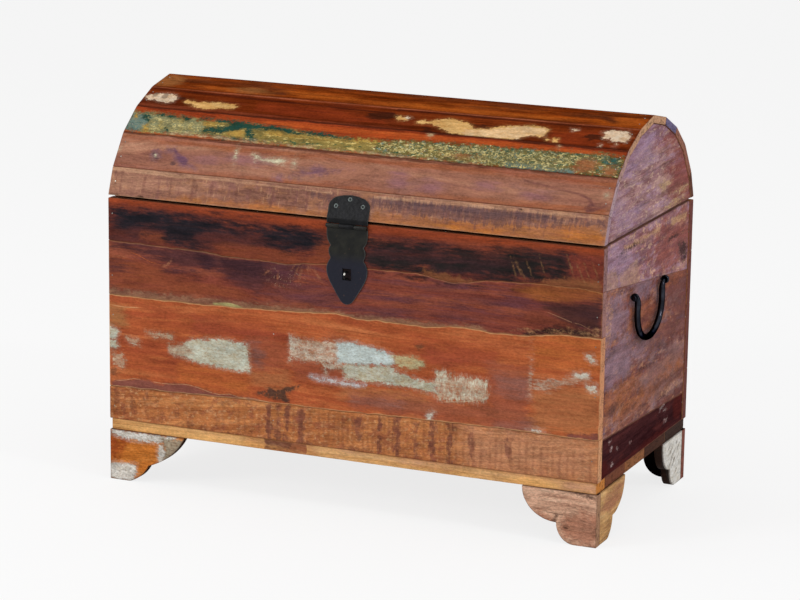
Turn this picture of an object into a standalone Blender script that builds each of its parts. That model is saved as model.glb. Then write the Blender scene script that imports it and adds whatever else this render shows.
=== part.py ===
# Wooden storage chest with an arched lid, made of reclaimed boards.
# Lengths are in metres. +X runs along the chest, the front faces -Y and +Z is up.
# The origin is on the floor, below the middle of the chest's outer box.

import math

import bmesh
import bpy
from mathutils import Matrix, Vector

for old_object in list(bpy.data.objects):
    bpy.data.objects.remove(old_object, do_unlink=True)

# Overall sizes
CHEST_WIDTH = 0.800
CHEST_DEPTH = 0.400
FOOT_HEIGHT = 0.080
BOTTOM_THICKNESS = 0.017
WALL_HEIGHT = 0.347
LID_GAP = 0.0045
LID_RISE = 0.1575

# Clearances and edge work
TOUCH_GAP = 0.0003
RUNNING_GAP = 0.0003
OVERRUN = 0.002
EDGE_EASE = 0.0008
SHARP_ANGLE = math.radians(30)

# Boards
WALL_THICKNESS = 0.016
SIDE_INSET = 0.001
BOTTOM_INSET = 0.0025
SLAT_THICKNESS = 0.012
LID_END_THICKNESS = 0.016
LID_END_INSET = 0.001

# Heights of the seams as shares of the wall, at the wall's two ends
FRONT_SEAM_SHARES = ((0.144, 0.202), (0.579, 0.640), (0.813, 0.813))
BACK_SEAM_SHARES = ((0.230, 0.255), (0.530, 0.500), (0.770, 0.745))
SIDE_SEAM_SHARES = ((0.176, 0.127), (0.813, 0.692))

# Seams of the bottom's boards as shares of its depth, from the front
BOTTOM_SEAM_SHARES = (0.09, 0.31, 0.53, 0.77)

# Outer corners of the lid's arch, from the front edge to the top, as shares of half depth and rise
ARCH_SHARES = ((1.0, 0.0), (0.924, 0.263), (0.753, 0.568), (0.5375, 0.781), (0.2815, 0.926), (0.0, 1.0))

# Feet: each corner has one board along the chest and one across it
FOOT_THICKNESS = 0.015
FOOT_TOE = 0.034
FOOT_NOTCH_OUT = 0.0625
FOOT_NOTCH_HEIGHT = 0.031
FOOT_LENGTHS = {"front_left": 0.128, "front_right": 0.117, "back_left": 0.122, "back_right": 0.120}
FOOT_SIDE_LENGTHS = {"front_left": 0.118, "front_right": 0.121, "back_left": 0.112, "back_right": 0.106}
LOBE_STEPS = 8

# Countersunk screws
SCREW_HEAD_RADIUS = 0.0036
SCREW_HEAD_DEPTH = 0.0014
SCREW_SHANK_RADIUS = 0.0016
SCREW_LENGTH = 0.011
SCREW_SIDES = 8

# Hinge parts that the latch and the back hinges share
LEAF_THICKNESS = 0.0015
KNUCKLE_RADIUS = 0.0033
KNUCKLE_SINK = 0.0002
KNUCKLE_SIDES = 16
PIN_RADIUS = 0.0013

# Latch
LATCH_WIDTH = 0.066
LATCH_KNUCKLE_WIDTH = 0.024
LATCH_AXIS_DROP = 0.0057
LATCH_LEAF_HEIGHT = 0.0465
LATCH_LEAF_SHARES = (
    (1.0, 0.0), (1.0, 0.62), (0.93, 0.76), (0.80, 0.86), (0.62, 0.93), (0.55, 0.925), (0.36, 0.975), (0.0, 1.0),
)
LATCH_SCREW_SHARES = ((0.0, 0.86), (-0.64, 0.62), (0.66, 0.66))
HASP_LENGTH = 0.118
HASP_SHARES = (
    (1.0, 0.0), (1.0, 0.09), (0.97, 0.17), (0.88, 0.225), (0.81, 0.257), (0.87, 0.285), (0.90, 0.33),
    (0.87, 0.375), (0.81, 0.418), (0.90, 0.462), (0.98, 0.515), (1.0, 0.57), (0.96, 0.635), (0.84, 0.715),
    (0.66, 0.80), (0.47, 0.885), (0.31, 0.95), (0.17, 0.985), (0.0, 1.0),
)
HASP_SLOT_WIDTH = 0.0145
HASP_SLOT_HEIGHT = 0.021
HASP_SLOT_DROP = 0.073

# Staple that the hasp drops over
STAPLE_WIRE = 0.003
STAPLE_HEIGHT = 0.013
STAPLE_REACH = 0.0125
STAPLE_DEPTH = 0.010
STAPLE_STEPS = 8

# Back hinges
HINGE_WIDTH = 0.060
HINGE_SPREAD = 0.500
HINGE_KNUCKLE_WIDTH = 0.020
HINGE_LOWER_HEIGHT = 0.048
HINGE_UPPER_HEIGHT = 0.038
HINGE_LEAF_SHARES = ((1.0, 0.0), (1.0, 0.80), (0.86, 1.0))
HINGE_SCREW_SHARES = ((0.0, 0.42), (-0.62, 0.74), (0.62, 0.74))

# Handles: a bail that hangs in two eye bolts at each end of the chest
HANDLE_HEIGHT = 0.2515
HANDLE_FORWARD = 0.0095
HANDLE_SPACING = 0.135
BAIL_RADIUS = 0.0047
BAIL_NECK_RADIUS = 0.0024
BAIL_BUTTON_RADIUS = 0.0048
BAIL_BUTTON_LENGTH = 0.0040
BAIL_NECK_MARGIN = 0.0010
BAIL_BEND = 0.0100
BAIL_LEG = 0.028
BAIL_DROP = 0.073
BAIL_STEPS = 14
BEND_STEPS = 4
EYE_RING_RADIUS = 0.0047
EYE_WIRE_RADIUS = 0.0017
EYE_SHANK_RADIUS = 0.0020
EYE_SHANK_DEPTH = 0.011
EYE_SEGMENTS = 16
EYE_SIDES = 8
SHANK_SIDES = 10

# Places worked out from the sizes
half_width = CHEST_WIDTH / 2
bottom_low = FOOT_HEIGHT
wall_low = bottom_low + BOTTOM_THICKNESS
wall_top = wall_low + WALL_HEIGHT
lid_low = wall_top + LID_GAP

leaf_back = KNUCKLE_RADIUS - KNUCKLE_SINK
knuckle_flat = KNUCKLE_RADIUS * math.cos(math.pi / KNUCKLE_SIDES)
leaf_gap = TOUCH_GAP + max(knuckle_flat - leaf_back, 0)
axis_reach = leaf_back + leaf_gap

back_reach = axis_reach + knuckle_flat
front_reach = max(STAPLE_REACH, back_reach)
front_y = (front_reach - back_reach) / 2 - CHEST_DEPTH / 2
back_y = front_y + CHEST_DEPTH
middle_y = (front_y + back_y) / 2


def outward(verts, faces):
    """Turns every face round if the closed body they make is inside out."""
    volume = 0.0
    for face in faces:
        first = Vector(verts[face[0]])
        for a, b in zip(face[1:], face[2:]):
            volume += first.dot(Vector(verts[a]).cross(Vector(verts[b])))
    if volume < 0:
        faces = [tuple(reversed(face)) for face in faces]
    return verts, faces


def prism(outline, along):
    """A flat outline pushed along a vector."""
    count = len(outline)
    step = Vector(along)
    verts = [Vector(point) for point in outline]
    verts += [Vector(point) + step for point in outline]
    faces = [tuple(range(count)), tuple(range(2 * count - 1, count - 1, -1))]
    for i in range(count):
        j = (i + 1) % count
        faces.append((i, i + count, j + count, j))
    return outward(verts, faces)


def turned(profile, sides):
    """A solid turned about +Y: the profile is a list of radii and the depths where they lie."""
    verts = []
    for radius, depth in profile:
        for i in range(sides):
            angle = 2 * math.pi * (i + 0.5) / sides
            verts.append(Vector((radius * math.cos(angle), depth, radius * math.sin(angle))))
    faces = [tuple(range(sides)), tuple(range(len(verts) - sides, len(verts)))[::-1]]
    for level in range(len(profile) - 1):
        low = level * sides
        for i in range(sides):
            j = (i + 1) % sides
            faces.append((low + i, low + sides + i, low + sides + j, low + j))
    return outward(verts, faces)


def ring(radius, wire, segments, sides):
    """A round wire bent into a ring about the Y axis."""
    verts = []
    for i in range(segments):
        turn = 2 * math.pi * (i + 0.5) / segments
        for j in range(sides):
            angle = 2 * math.pi * (j + 0.5) / sides
            reach = radius + wire * math.cos(angle)
            verts.append(Vector((reach * math.cos(turn), wire * math.sin(angle), reach * math.sin(turn))))
    faces = []
    for i in range(segments):
        for j in range(sides):
            a = i * sides + j
            b = i * sides + (j + 1) % sides
            c = (i + 1) % segments * sides + (j + 1) % sides
            d = (i + 1) % segments * sides + j
            faces.append((a, b, c, d))
    return outward(verts, faces)


def rod_along_x(radius, low, high, sides):
    """A round rod along X between two places."""
    verts, faces = turned(((radius, low), (radius, high)), sides)
    return outward([Vector((v.y, v.x, v.z)) for v in verts], faces)


def material(name, colour, roughness, metallic):
    made = bpy.data.materials.new(name)
    made.use_nodes = True
    shader = made.node_tree.nodes["Principled BSDF"]
    shader.inputs["Base Color"].default_value = (*colour, 1)
    shader.inputs["Roughness"].default_value = roughness
    shader.inputs["Metallic"].default_value = metallic
    made.diffuse_color = (*colour, 1)
    return made


def solid_object(name, solids, colour=None, roughness=0.6, metallic=0.0, place=None, smooth=False):
    """One object from a list of (verts, faces) bodies, set at a place that is a matrix."""
    all_verts = []
    all_faces = []
    for verts, faces in solids:
        first = len(all_verts)
        all_verts += verts
        all_faces += [tuple(first + i for i in face) for face in faces]
    mesh = bpy.data.meshes.new(name)
    mesh.from_pydata([tuple(v) for v in all_verts], [], all_faces)
    if smooth:
        mesh.shade_smooth()
        mesh.set_sharp_from_angle(angle=SHARP_ANGLE)
    made = bpy.data.objects.new(name, mesh)
    bpy.context.collection.objects.link(made)
    if place is not None:
        made.matrix_world = place
    if colour is not None:
        mesh.materials.append(material(name, colour, roughness, metallic))
    return made


def cutter_object(name, solids, place=None):
    """A hidden object that other objects are cut by or joined with."""
    made = solid_object(name, solids, place=place)
    made.hide_render = True
    made.display_type = "WIRE"
    return made


def moved(solid, place):
    verts, faces = solid
    return [place @ v for v in verts], faces


def combine(target, tool, operation):
    modifier = target.modifiers.new(operation.lower(), "BOOLEAN")
    modifier.operation = operation
    modifier.object = tool
    modifier.solver = "EXACT"


def ease_edges(target):
    """Takes the sharpness off a board's edges."""
    modifier = target.modifiers.new("eased_edges", "BEVEL")
    modifier.width = EDGE_EASE
    modifier.segments = 1
    modifier.limit_method = "ANGLE"
    modifier.angle_limit = SHARP_ANGLE


def board_spans(seam_shares, low, high):
    """The heights of each board's lower and upper edge at the wall's two ends, lowest board first."""
    height = high - low
    edges = [(low, low)]
    for share_a, share_b in seam_shares:
        edges.append((low + share_a * height, low + share_b * height))
    edges.append((high, high))
    spans = []
    for i in range(len(edges) - 1):
        lift = TOUCH_GAP if i else 0
        bottom = [z + lift for z in edges[i]]
        spans.append((bottom, edges[i + 1]))
    return spans


# Carcass

def wall_boards(name, seam_shares, starts, ends, inward, colours):
    """The boards of one wall, numbered from the top. Starts and ends are (x, y) of the outer face."""
    boards = []
    spans = board_spans(seam_shares, wall_low + TOUCH_GAP, wall_top)
    for number, (low, high) in enumerate(reversed(spans), start=1):
        outline = [
            (*starts, low[0]),
            (*ends, low[1]),
            (*ends, high[1]),
            (*starts, high[0]),
        ]
        board = solid_object(f"{name}_{number}", [prism(outline, inward)], colours[number - 1], 0.62)
        ease_edges(board)
        boards.append((board, low, high))
    return boards


FRONT_COLOURS = ((0.17, 0.05, 0.025), (0.16, 0.035, 0.02), (0.38, 0.10, 0.035), (0.34, 0.15, 0.07))
BACK_COLOURS = ((0.20, 0.07, 0.035), (0.26, 0.10, 0.05), (0.18, 0.06, 0.035), (0.28, 0.13, 0.065))
SIDE_COLOURS = ((0.24, 0.10, 0.09), (0.27, 0.12, 0.09), (0.05, 0.015, 0.018))

front_boards = wall_boards(
    "front_board", FRONT_SEAM_SHARES, (-half_width, front_y), (half_width, front_y),
    (0, WALL_THICKNESS, 0), FRONT_COLOURS)
back_boards = wall_boards(
    "back_board", BACK_SEAM_SHARES, (half_width, back_y), (-half_width, back_y),
    (0, -WALL_THICKNESS, 0), BACK_COLOURS)

side_front_y = front_y + WALL_THICKNESS + TOUCH_GAP
side_back_y = back_y - WALL_THICKNESS - TOUCH_GAP
side_x = half_width - SIDE_INSET
side_boards = {}
for side, sign in (("left", -1), ("right", 1)):
    side_boards[side] = wall_boards(
        f"{side}_side_board", SIDE_SEAM_SHARES, (sign * side_x, side_front_y), (sign * side_x, side_back_y),
        (-sign * WALL_THICKNESS, 0, 0), SIDE_COLOURS)

BOTTOM_COLOURS = (
    (0.62, 0.36, 0.14), (0.12, 0.05, 0.035), (0.30, 0.14, 0.07), (0.22, 0.10, 0.06), (0.42, 0.26, 0.14))
bottom_front_y = front_y + BOTTOM_INSET
bottom_depth = CHEST_DEPTH - 2 * BOTTOM_INSET
bottom_half_width = half_width - BOTTOM_INSET
bottom_edges = [0.0, *BOTTOM_SEAM_SHARES, 1.0]
for number in range(1, len(bottom_edges)):
    near = bottom_front_y + bottom_edges[number - 1] * bottom_depth
    far = bottom_front_y + bottom_edges[number] * bottom_depth
    if number > 1:
        near += TOUCH_GAP
    outline = [
        (-bottom_half_width, near, bottom_low),
        (bottom_half_width, near, bottom_low),
        (bottom_half_width, far, bottom_low),
        (-bottom_half_width, far, bottom_low),
    ]
    board = solid_object(
        f"bottom_board_{number}", [prism(outline, (0, 0, BOTTOM_THICKNESS))],
        BOTTOM_COLOURS[number - 1], 0.65)
    ease_edges(board)


# Feet

def foot_outline(length):
    """The bracket foot's face, out from its corner: two round lobes that meet in a notch."""
    top = FOOT_HEIGHT - TOUCH_GAP
    points = [(0.0, 0.0)]
    for step in range(LOBE_STEPS + 1):
        angle = math.pi / 2 * step / LOBE_STEPS
        out = FOOT_TOE + (FOOT_NOTCH_OUT - FOOT_TOE) * math.sin(angle)
        points.append((out, FOOT_NOTCH_HEIGHT * (1 - math.cos(angle))))
    for step in range(1, LOBE_STEPS + 1):
        angle = math.pi / 2 * step / LOBE_STEPS
        out = FOOT_NOTCH_OUT + (length - FOOT_NOTCH_OUT) * math.sin(angle)
        points.append((out, top - (top - FOOT_NOTCH_HEIGHT) * math.cos(angle)))
    points.append((0.0, top))
    return points


FOOT_COLOURS = {
    "front_left": ((0.40, 0.18, 0.07), (0.36, 0.20, 0.10)),
    "front_right": ((0.36, 0.24, 0.18), (0.50, 0.34, 0.16)),
    "back_left": ((0.06, 0.04, 0.035), (0.40, 0.24, 0.12)),
    "back_right": ((0.05, 0.035, 0.03), (0.55, 0.53, 0.46)),
}
for corner, long_length in FOOT_LENGTHS.items():
    x_sign = -1 if corner.endswith("left") else 1
    y_sign = -1 if corner.startswith("front") else 1
    corner_x = x_sign * half_width
    corner_y = front_y if y_sign < 0 else back_y
    long_colour, side_colour = FOOT_COLOURS[corner]
    outline = [(corner_x - x_sign * out, corner_y, z) for out, z in foot_outline(long_length)]
    foot = solid_object(
        f"{corner}_foot_long", [prism(outline, (0, -y_sign * FOOT_THICKNESS, 0))], long_colour, 0.65)
    ease_edges(foot)
    side_start = corner_y - y_sign * (FOOT_THICKNESS + TOUCH_GAP)
    side_length = FOOT_SIDE_LENGTHS[corner]
    outline = [
        (corner_x, side_start - y_sign * out * (1 - FOOT_THICKNESS / side_length), z)
        for out, z in foot_outline(side_length)
    ]
    foot = solid_object(
        f"{corner}_foot_side", [prism(outline, (-x_sign * FOOT_THICKNESS, 0, 0))], side_colour, 0.65)
    ease_edges(foot)


# Lid

def arch_line(offset):
    """The arch's corner points (y, z) from front to back, moved inwards by an offset."""
    half_depth = CHEST_DEPTH / 2
    front_half = [(-half_depth * y_share, LID_RISE * z_share) for y_share, z_share in ARCH_SHARES]
    outer = front_half + [(-y, z) for y, z in reversed(front_half[:-1])]
    outer = [Vector((middle_y + y, lid_low + z)) for y, z in outer]
    inner = []
    for i, point in enumerate(outer):
        if 0 < i < len(outer) - 1:
            before = (point - outer[i - 1]).normalized()
            after = (outer[i + 1] - point).normalized()
            mitre = (before + after).normalized()
            reach = offset / mitre.dot(before)
            inner.append(point + reach * Vector((mitre.y, -mitre.x)))
        elif i == 0:
            along = (outer[1] - point).normalized()
            inner.append(point + Vector((offset / along.y, 0)))
        else:
            along = (point - outer[i - 1]).normalized()
            inner.append(point + Vector((offset / along.y, 0)))
    return inner


outer_arch = arch_line(0)
slat_inner_arch = arch_line(SLAT_THICKNESS)
slat_count = len(outer_arch) - 1
SLAT_NAMES = ("lid_front_rail", *[f"lid_slat_{i}" for i in range(1, slat_count - 1)], "lid_back_rail")
SLAT_COLOURS = (
    (0.42, 0.22, 0.14), (0.30, 0.13, 0.10), (0.20, 0.17, 0.06), (0.20, 0.05, 0.025), (0.26, 0.08, 0.03),
    (0.24, 0.09, 0.045), (0.19, 0.06, 0.03), (0.22, 0.13, 0.07), (0.27, 0.11, 0.07), (0.33, 0.17, 0.10))


slats = []
for number in range(slat_count):
    start, end = outer_arch[number], outer_arch[number + 1]
    round_arch = (end - start).normalized()
    start_trim = TOUCH_GAP / 2 if number else 0
    end_trim = TOUCH_GAP / 2 if number < slat_count - 1 else 0
    corners = [
        start + start_trim * round_arch,
        end - end_trim * round_arch,
        slat_inner_arch[number + 1] - end_trim * round_arch,
        slat_inner_arch[number] + start_trim * round_arch,
    ]
    outline = [(-half_width, corner.x, corner.y) for corner in corners]
    slat = solid_object(SLAT_NAMES[number], [prism(outline, (CHEST_WIDTH, 0, 0))], SLAT_COLOURS[number], 0.58)
    ease_edges(slat)
    slats.append(slat)

end_arch = arch_line(SLAT_THICKNESS + TOUCH_GAP)
lid_end_x = half_width - LID_END_INSET
lid_ends = []
for side, sign in (("left", -1), ("right", 1)):
    outline = [(sign * lid_end_x, point.x, point.y) for point in end_arch]
    lid_end = solid_object(
        f"lid_{side}_end", [prism(outline, (-sign * LID_END_THICKNESS, 0, 0))], (0.30, 0.14, 0.13), 0.6)
    ease_edges(lid_end)
    lid_ends.append(lid_end)


IRON = (0.018, 0.018, 0.020)


# Hinge leaves, for the latch and for the back hinges

def screw(grow):
    """A countersunk screw flush with its plate, or the hole for it when it grows by a clearance."""
    profile = [
        (SCREW_HEAD_RADIUS + grow, 0),
        (SCREW_SHANK_RADIUS + grow, SCREW_HEAD_DEPTH),
        (SCREW_SHANK_RADIUS + grow, SCREW_LENGTH + grow),
    ]
    if grow:
        profile.insert(0, (SCREW_HEAD_RADIUS + grow, -OVERRUN))
    return turned(profile, SCREW_SIDES)


def plate(shares, half, height):
    """A flat plate of mirrored outline below or above its hinge axis, thick towards the viewer."""
    right = [(half * x_share, height * z_share) for x_share, z_share in shares]
    left = [(-x, z) for x, z in reversed(right) if x]
    outline = [(x, leaf_back - LEAF_THICKNESS, z) for x, z in right + left]
    return prism(outline, (0, LEAF_THICKNESS, 0))


def bend_matrix(height, lean):
    """Turns what lies above a height about the plate's back by a lean towards the wood."""
    pivot = Vector((0, leaf_back, height))
    return Matrix.Translation(pivot) @ Matrix.Rotation(-lean, 4, "X") @ Matrix.Translation(-pivot)


def bend_plate(target, height, lean):
    """Folds a plate at a height, so that its upper part follows a leaning rail."""
    fold = bend_matrix(height, lean)
    work = bmesh.new()
    work.from_mesh(target.data)
    everything = work.verts[:] + work.edges[:] + work.faces[:]
    bmesh.ops.bisect_plane(work, geom=everything, plane_co=(0, 0, height), plane_no=(0, 0, 1))
    for vert in work.verts:
        if vert.co.z > height + TOUCH_GAP / 2:
            vert.co = fold @ vert.co
    work.to_mesh(target.data)
    work.free()


def knuckle_spans(width, middle_width):
    """The middle span of a three-knuckle hinge, and its two outer ones."""
    middle = [(-middle_width / 2, middle_width / 2)]
    outer_start = middle_width / 2 + RUNNING_GAP
    outer = [(-width / 2, -outer_start), (outer_start, width / 2)]
    return middle, outer


def hinge_leaf(name, place, shares, width, height, own, others, lean=0.0, fold_height=0.0):
    """A plate with its own knuckles round the hinge axis, cleared for the other leaf's knuckles."""
    leaf = solid_object(name, [plate(shares, width / 2, height)], IRON, 0.5, 0.85, place)
    if lean:
        bend_plate(leaf, fold_height, lean)
    relief_radius = KNUCKLE_RADIUS + RUNNING_GAP
    reliefs = [
        rod_along_x(relief_radius, low - RUNNING_GAP, high + RUNNING_GAP, KNUCKLE_SIDES) for low, high in others]
    combine(leaf, cutter_object(f"{name}_reliefs", reliefs, place), "DIFFERENCE")
    knuckles = [rod_along_x(KNUCKLE_RADIUS, low, high, KNUCKLE_SIDES) for low, high in own]
    combine(leaf, cutter_object(f"{name}_knuckles", knuckles, place), "UNION")
    reach = width / 2 + OVERRUN
    bore = [rod_along_x(PIN_RADIUS + RUNNING_GAP, -reach, reach, KNUCKLE_SIDES)]
    combine(leaf, cutter_object(f"{name}_bore", bore, place), "DIFFERENCE")
    return leaf


def leaf_screw_places(place, shares, half, height, lean=0.0, fold_height=0.0):
    """Where a leaf's screws stand, each facing into the plate."""
    places = []
    for x_share, z_share in shares:
        spot = Matrix.Translation(Vector((half * x_share, leaf_back - LEAF_THICKNESS, height * z_share)))
        if lean:
            spot = bend_matrix(fold_height, lean) @ spot
        places.append(place @ spot)
    return places


def fold_above(axis_height, lean):
    """How far above a hinge axis its upper leaf folds to follow the leaning rail."""
    return lid_low - axis_height + leaf_gap * math.tan(lean / 2)


rail_line = outer_arch[1] - outer_arch[0]
rail_lean = math.atan2(rail_line.x, rail_line.y)

latch_axis_z = wall_top - LATCH_AXIS_DROP
latch_place = Matrix.Translation(Vector((0, front_y - axis_reach, latch_axis_z)))
latch_middle, latch_outer = knuckle_spans(LATCH_WIDTH, LATCH_KNUCKLE_WIDTH)
latch_fold = fold_above(latch_axis_z, rail_lean)
latch_plate = hinge_leaf(
    "latch_plate", latch_place, LATCH_LEAF_SHARES, LATCH_WIDTH, LATCH_LEAF_HEIGHT,
    latch_middle, latch_outer, rail_lean, latch_fold)
latch_screw_places = leaf_screw_places(
    latch_place, LATCH_SCREW_SHARES, LATCH_WIDTH / 2, LATCH_LEAF_HEIGHT, rail_lean, latch_fold)
latch_screw_holes = cutter_object("latch_screw_holes", [moved(screw(TOUCH_GAP), p) for p in latch_screw_places])
combine(latch_plate, latch_screw_holes, "DIFFERENCE")
combine(slats[0], latch_screw_holes, "DIFFERENCE")
for number, spot in enumerate(latch_screw_places, start=1):
    solid_object(f"latch_screw_{number}", [moved(screw(0), spot)], IRON, 0.4, 0.9)

hasp = hinge_leaf("hasp", latch_place, HASP_SHARES, LATCH_WIDTH, -HASP_LENGTH, latch_outer, latch_middle)
slot_low = -HASP_SLOT_DROP - HASP_SLOT_HEIGHT / 2
slot_outline = [
    (-HASP_SLOT_WIDTH / 2, -OVERRUN, slot_low),
    (HASP_SLOT_WIDTH / 2, -OVERRUN, slot_low),
    (HASP_SLOT_WIDTH / 2, -OVERRUN, slot_low + HASP_SLOT_HEIGHT),
    (-HASP_SLOT_WIDTH / 2, -OVERRUN, slot_low + HASP_SLOT_HEIGHT),
]
slot_cutter = cutter_object("hasp_slot", [prism(slot_outline, (0, leaf_back + 2 * OVERRUN, 0))], latch_place)
combine(hasp, slot_cutter, "DIFFERENCE")
pin_end = LATCH_WIDTH / 2
solid_object("latch_pin", [rod_along_x(PIN_RADIUS, -pin_end, pin_end, SHANK_SIDES)], IRON, 0.5, 0.85,
             latch_place, smooth=True)

hinge_axis_z = (wall_top + lid_low) / 2
hinge_middle, hinge_outer = knuckle_spans(HINGE_WIDTH, HINGE_KNUCKLE_WIDTH)
hinge_fold = fold_above(hinge_axis_z, rail_lean)
for side, sign in (("left", -1), ("right", 1)):
    hinge_spot = Vector((sign * HINGE_SPREAD / 2, back_y + axis_reach, hinge_axis_z))
    hinge_place = Matrix.Translation(hinge_spot) @ Matrix.Rotation(math.pi, 4, "Z")
    upper_leaf = hinge_leaf(
        f"{side}_hinge_upper_leaf", hinge_place, HINGE_LEAF_SHARES, HINGE_WIDTH, HINGE_UPPER_HEIGHT,
        hinge_middle, hinge_outer, rail_lean, hinge_fold)
    lower_leaf = hinge_leaf(
        f"{side}_hinge_lower_leaf", hinge_place, HINGE_LEAF_SHARES, HINGE_WIDTH, -HINGE_LOWER_HEIGHT,
        hinge_outer, hinge_middle)
    upper_places = leaf_screw_places(
        hinge_place, HINGE_SCREW_SHARES, HINGE_WIDTH / 2, HINGE_UPPER_HEIGHT, rail_lean, hinge_fold)
    lower_places = leaf_screw_places(
        hinge_place, HINGE_SCREW_SHARES, HINGE_WIDTH / 2, -HINGE_LOWER_HEIGHT)
    for leaf, places in ((upper_leaf, upper_places), (lower_leaf, lower_places)):
        holes = cutter_object(f"{leaf.name}_holes", [moved(screw(TOUCH_GAP), spot) for spot in places])
        combine(leaf, holes, "DIFFERENCE")
    pin_end = HINGE_WIDTH / 2
    solid_object(f"{side}_hinge_pin", [rod_along_x(PIN_RADIUS, -pin_end, pin_end, SHANK_SIDES)],
                 IRON, 0.5, 0.85, hinge_place, smooth=True)


# Staple and handles

def bent_rod(name, points, radii, radius, resolution, place):
    """A round rod along a line of points, with its own radius at each as a share of the full one."""
    curve = bpy.data.curves.new(name, "CURVE")
    curve.dimensions = "3D"
    curve.bevel_depth = radius
    curve.bevel_resolution = resolution
    curve.use_fill_caps = True
    spline = curve.splines.new("POLY")
    spline.points.add(len(points) - 1)
    for point, place_of_point, share in zip(spline.points, points, radii):
        point.co = (*place_of_point, 1)
        point.radius = share
    spline.use_smooth = True
    made = bpy.data.objects.new(name, curve)
    bpy.context.collection.objects.link(made)
    made.matrix_world = place
    curve.materials.append(material(name, IRON, 0.35, 0.85))
    return made


staple_z = latch_axis_z - HASP_SLOT_DROP
staple_half = STAPLE_HEIGHT / 2 - STAPLE_WIRE / 2
staple_out = STAPLE_REACH - STAPLE_WIRE / 2
staple_line = [(0, STAPLE_DEPTH, -staple_half)]
for step in range(STAPLE_STEPS + 1):
    angle = -math.pi / 2 + math.pi * step / STAPLE_STEPS
    reach = staple_out - staple_half + staple_half * math.cos(angle)
    staple_line.append((0, -reach, staple_half * math.sin(angle)))
staple_line.append((0, STAPLE_DEPTH, staple_half))
staple_place = Matrix.Translation(Vector((0, front_y, staple_z)))
bent_rod("staple", staple_line, [1] * len(staple_line), STAPLE_WIRE / 2, 2, staple_place)
staple_holes = []
for sign in (-1, 1):
    leg = turned(((STAPLE_WIRE / 2 + TOUCH_GAP, -OVERRUN), (STAPLE_WIRE / 2 + TOUCH_GAP, STAPLE_DEPTH + TOUCH_GAP)),
                 SHANK_SIDES)
    staple_holes.append(moved(leg, Matrix.Translation(Vector((0, 0, sign * staple_half)))))
staple_cutter = cutter_object("staple_holes", staple_holes, staple_place)
for board, low, high in front_boards:
    combine(board, staple_cutter, "DIFFERENCE")

handle_z = wall_low + HANDLE_HEIGHT
handle_y = middle_y - HANDLE_FORWARD
eye_standoff = EYE_RING_RADIUS + EYE_WIRE_RADIUS + TOUCH_GAP
handle_x = side_x + eye_standoff
neck_half = EYE_WIRE_RADIUS + BAIL_NECK_MARGIN


def bail_line():
    """The bail's middle line (y, z) about the hinge axis, and its radius along it as shares."""
    eye = HANDLE_SPACING / 2
    neck = BAIL_NECK_RADIUS / BAIL_RADIUS
    button = BAIL_BUTTON_RADIUS / BAIL_RADIUS
    bend_start = eye - neck_half
    leg_y = bend_start - BAIL_BEND
    half = [
        (eye + neck_half + BAIL_BUTTON_LENGTH, 0, button),
        (eye + neck_half + TOUCH_GAP, 0, button),
        (eye + neck_half, 0, neck),
        (bend_start, 0, neck),
    ]
    for step in range(1, BEND_STEPS + 1):
        angle = math.pi / 2 * step / BEND_STEPS
        share = neck + (1 - neck) * step / BEND_STEPS
        y = bend_start - BAIL_BEND * math.sin(angle)
        half.append((y, -BAIL_BEND * (1 - math.cos(angle)), share))
    points = [(-y, z, share) for y, z, share in half]
    for step in range(BAIL_STEPS + 1):
        angle = math.pi * step / BAIL_STEPS
        drop = BAIL_LEG + (BAIL_DROP - BAIL_LEG) * math.sin(angle)
        points.append((-leg_y * math.cos(angle), -drop, 1))
    return points + list(reversed(half))


bail = bail_line()
bail_points = [(0, y, z) for y, z, share in bail]
bail_shares = [share for y, z, share in bail]
for side, sign in (("left", -1), ("right", 1)):
    handle_place = Matrix.Translation(Vector((sign * handle_x, handle_y, handle_z)))
    bent_rod(f"{side}_handle", bail_points, bail_shares, BAIL_RADIUS, 2, handle_place)
    shank_end = eye_standoff + EYE_SHANK_DEPTH
    for end, eye_y in (("front", -HANDLE_SPACING / 2), ("back", HANDLE_SPACING / 2)):
        eye_place = handle_place @ Matrix.Translation(Vector((0, eye_y, 0)))
        eye = solid_object(
            f"{side}_{end}_eye_bolt", [ring(EYE_RING_RADIUS, EYE_WIRE_RADIUS, EYE_SEGMENTS, EYE_SIDES)],
            IRON, 0.35, 0.85, eye_place, smooth=True)
        low, high = sorted((-sign * EYE_RING_RADIUS, -sign * shank_end))
        shank = rod_along_x(EYE_SHANK_RADIUS, low, high, SHANK_SIDES)
        combine(eye, cutter_object(f"{eye.name}_shank", [shank], eye_place), "UNION")
        low, high = sorted((-sign * EYE_RING_RADIUS, -sign * (shank_end + TOUCH_GAP)))
        hole = rod_along_x(EYE_SHANK_RADIUS + TOUCH_GAP, low, high, SHANK_SIDES)
        hole_cutter = cutter_object(f"{eye.name}_hole", [hole], eye_place)
        for board, board_low, board_high in side_boards[side]:
            combine(board, hole_cutter, "DIFFERENCE")
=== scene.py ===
import itertools
import math
from functools import partial

import bpy
import numpy as np
from mathutils import Matrix, Vector


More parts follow.
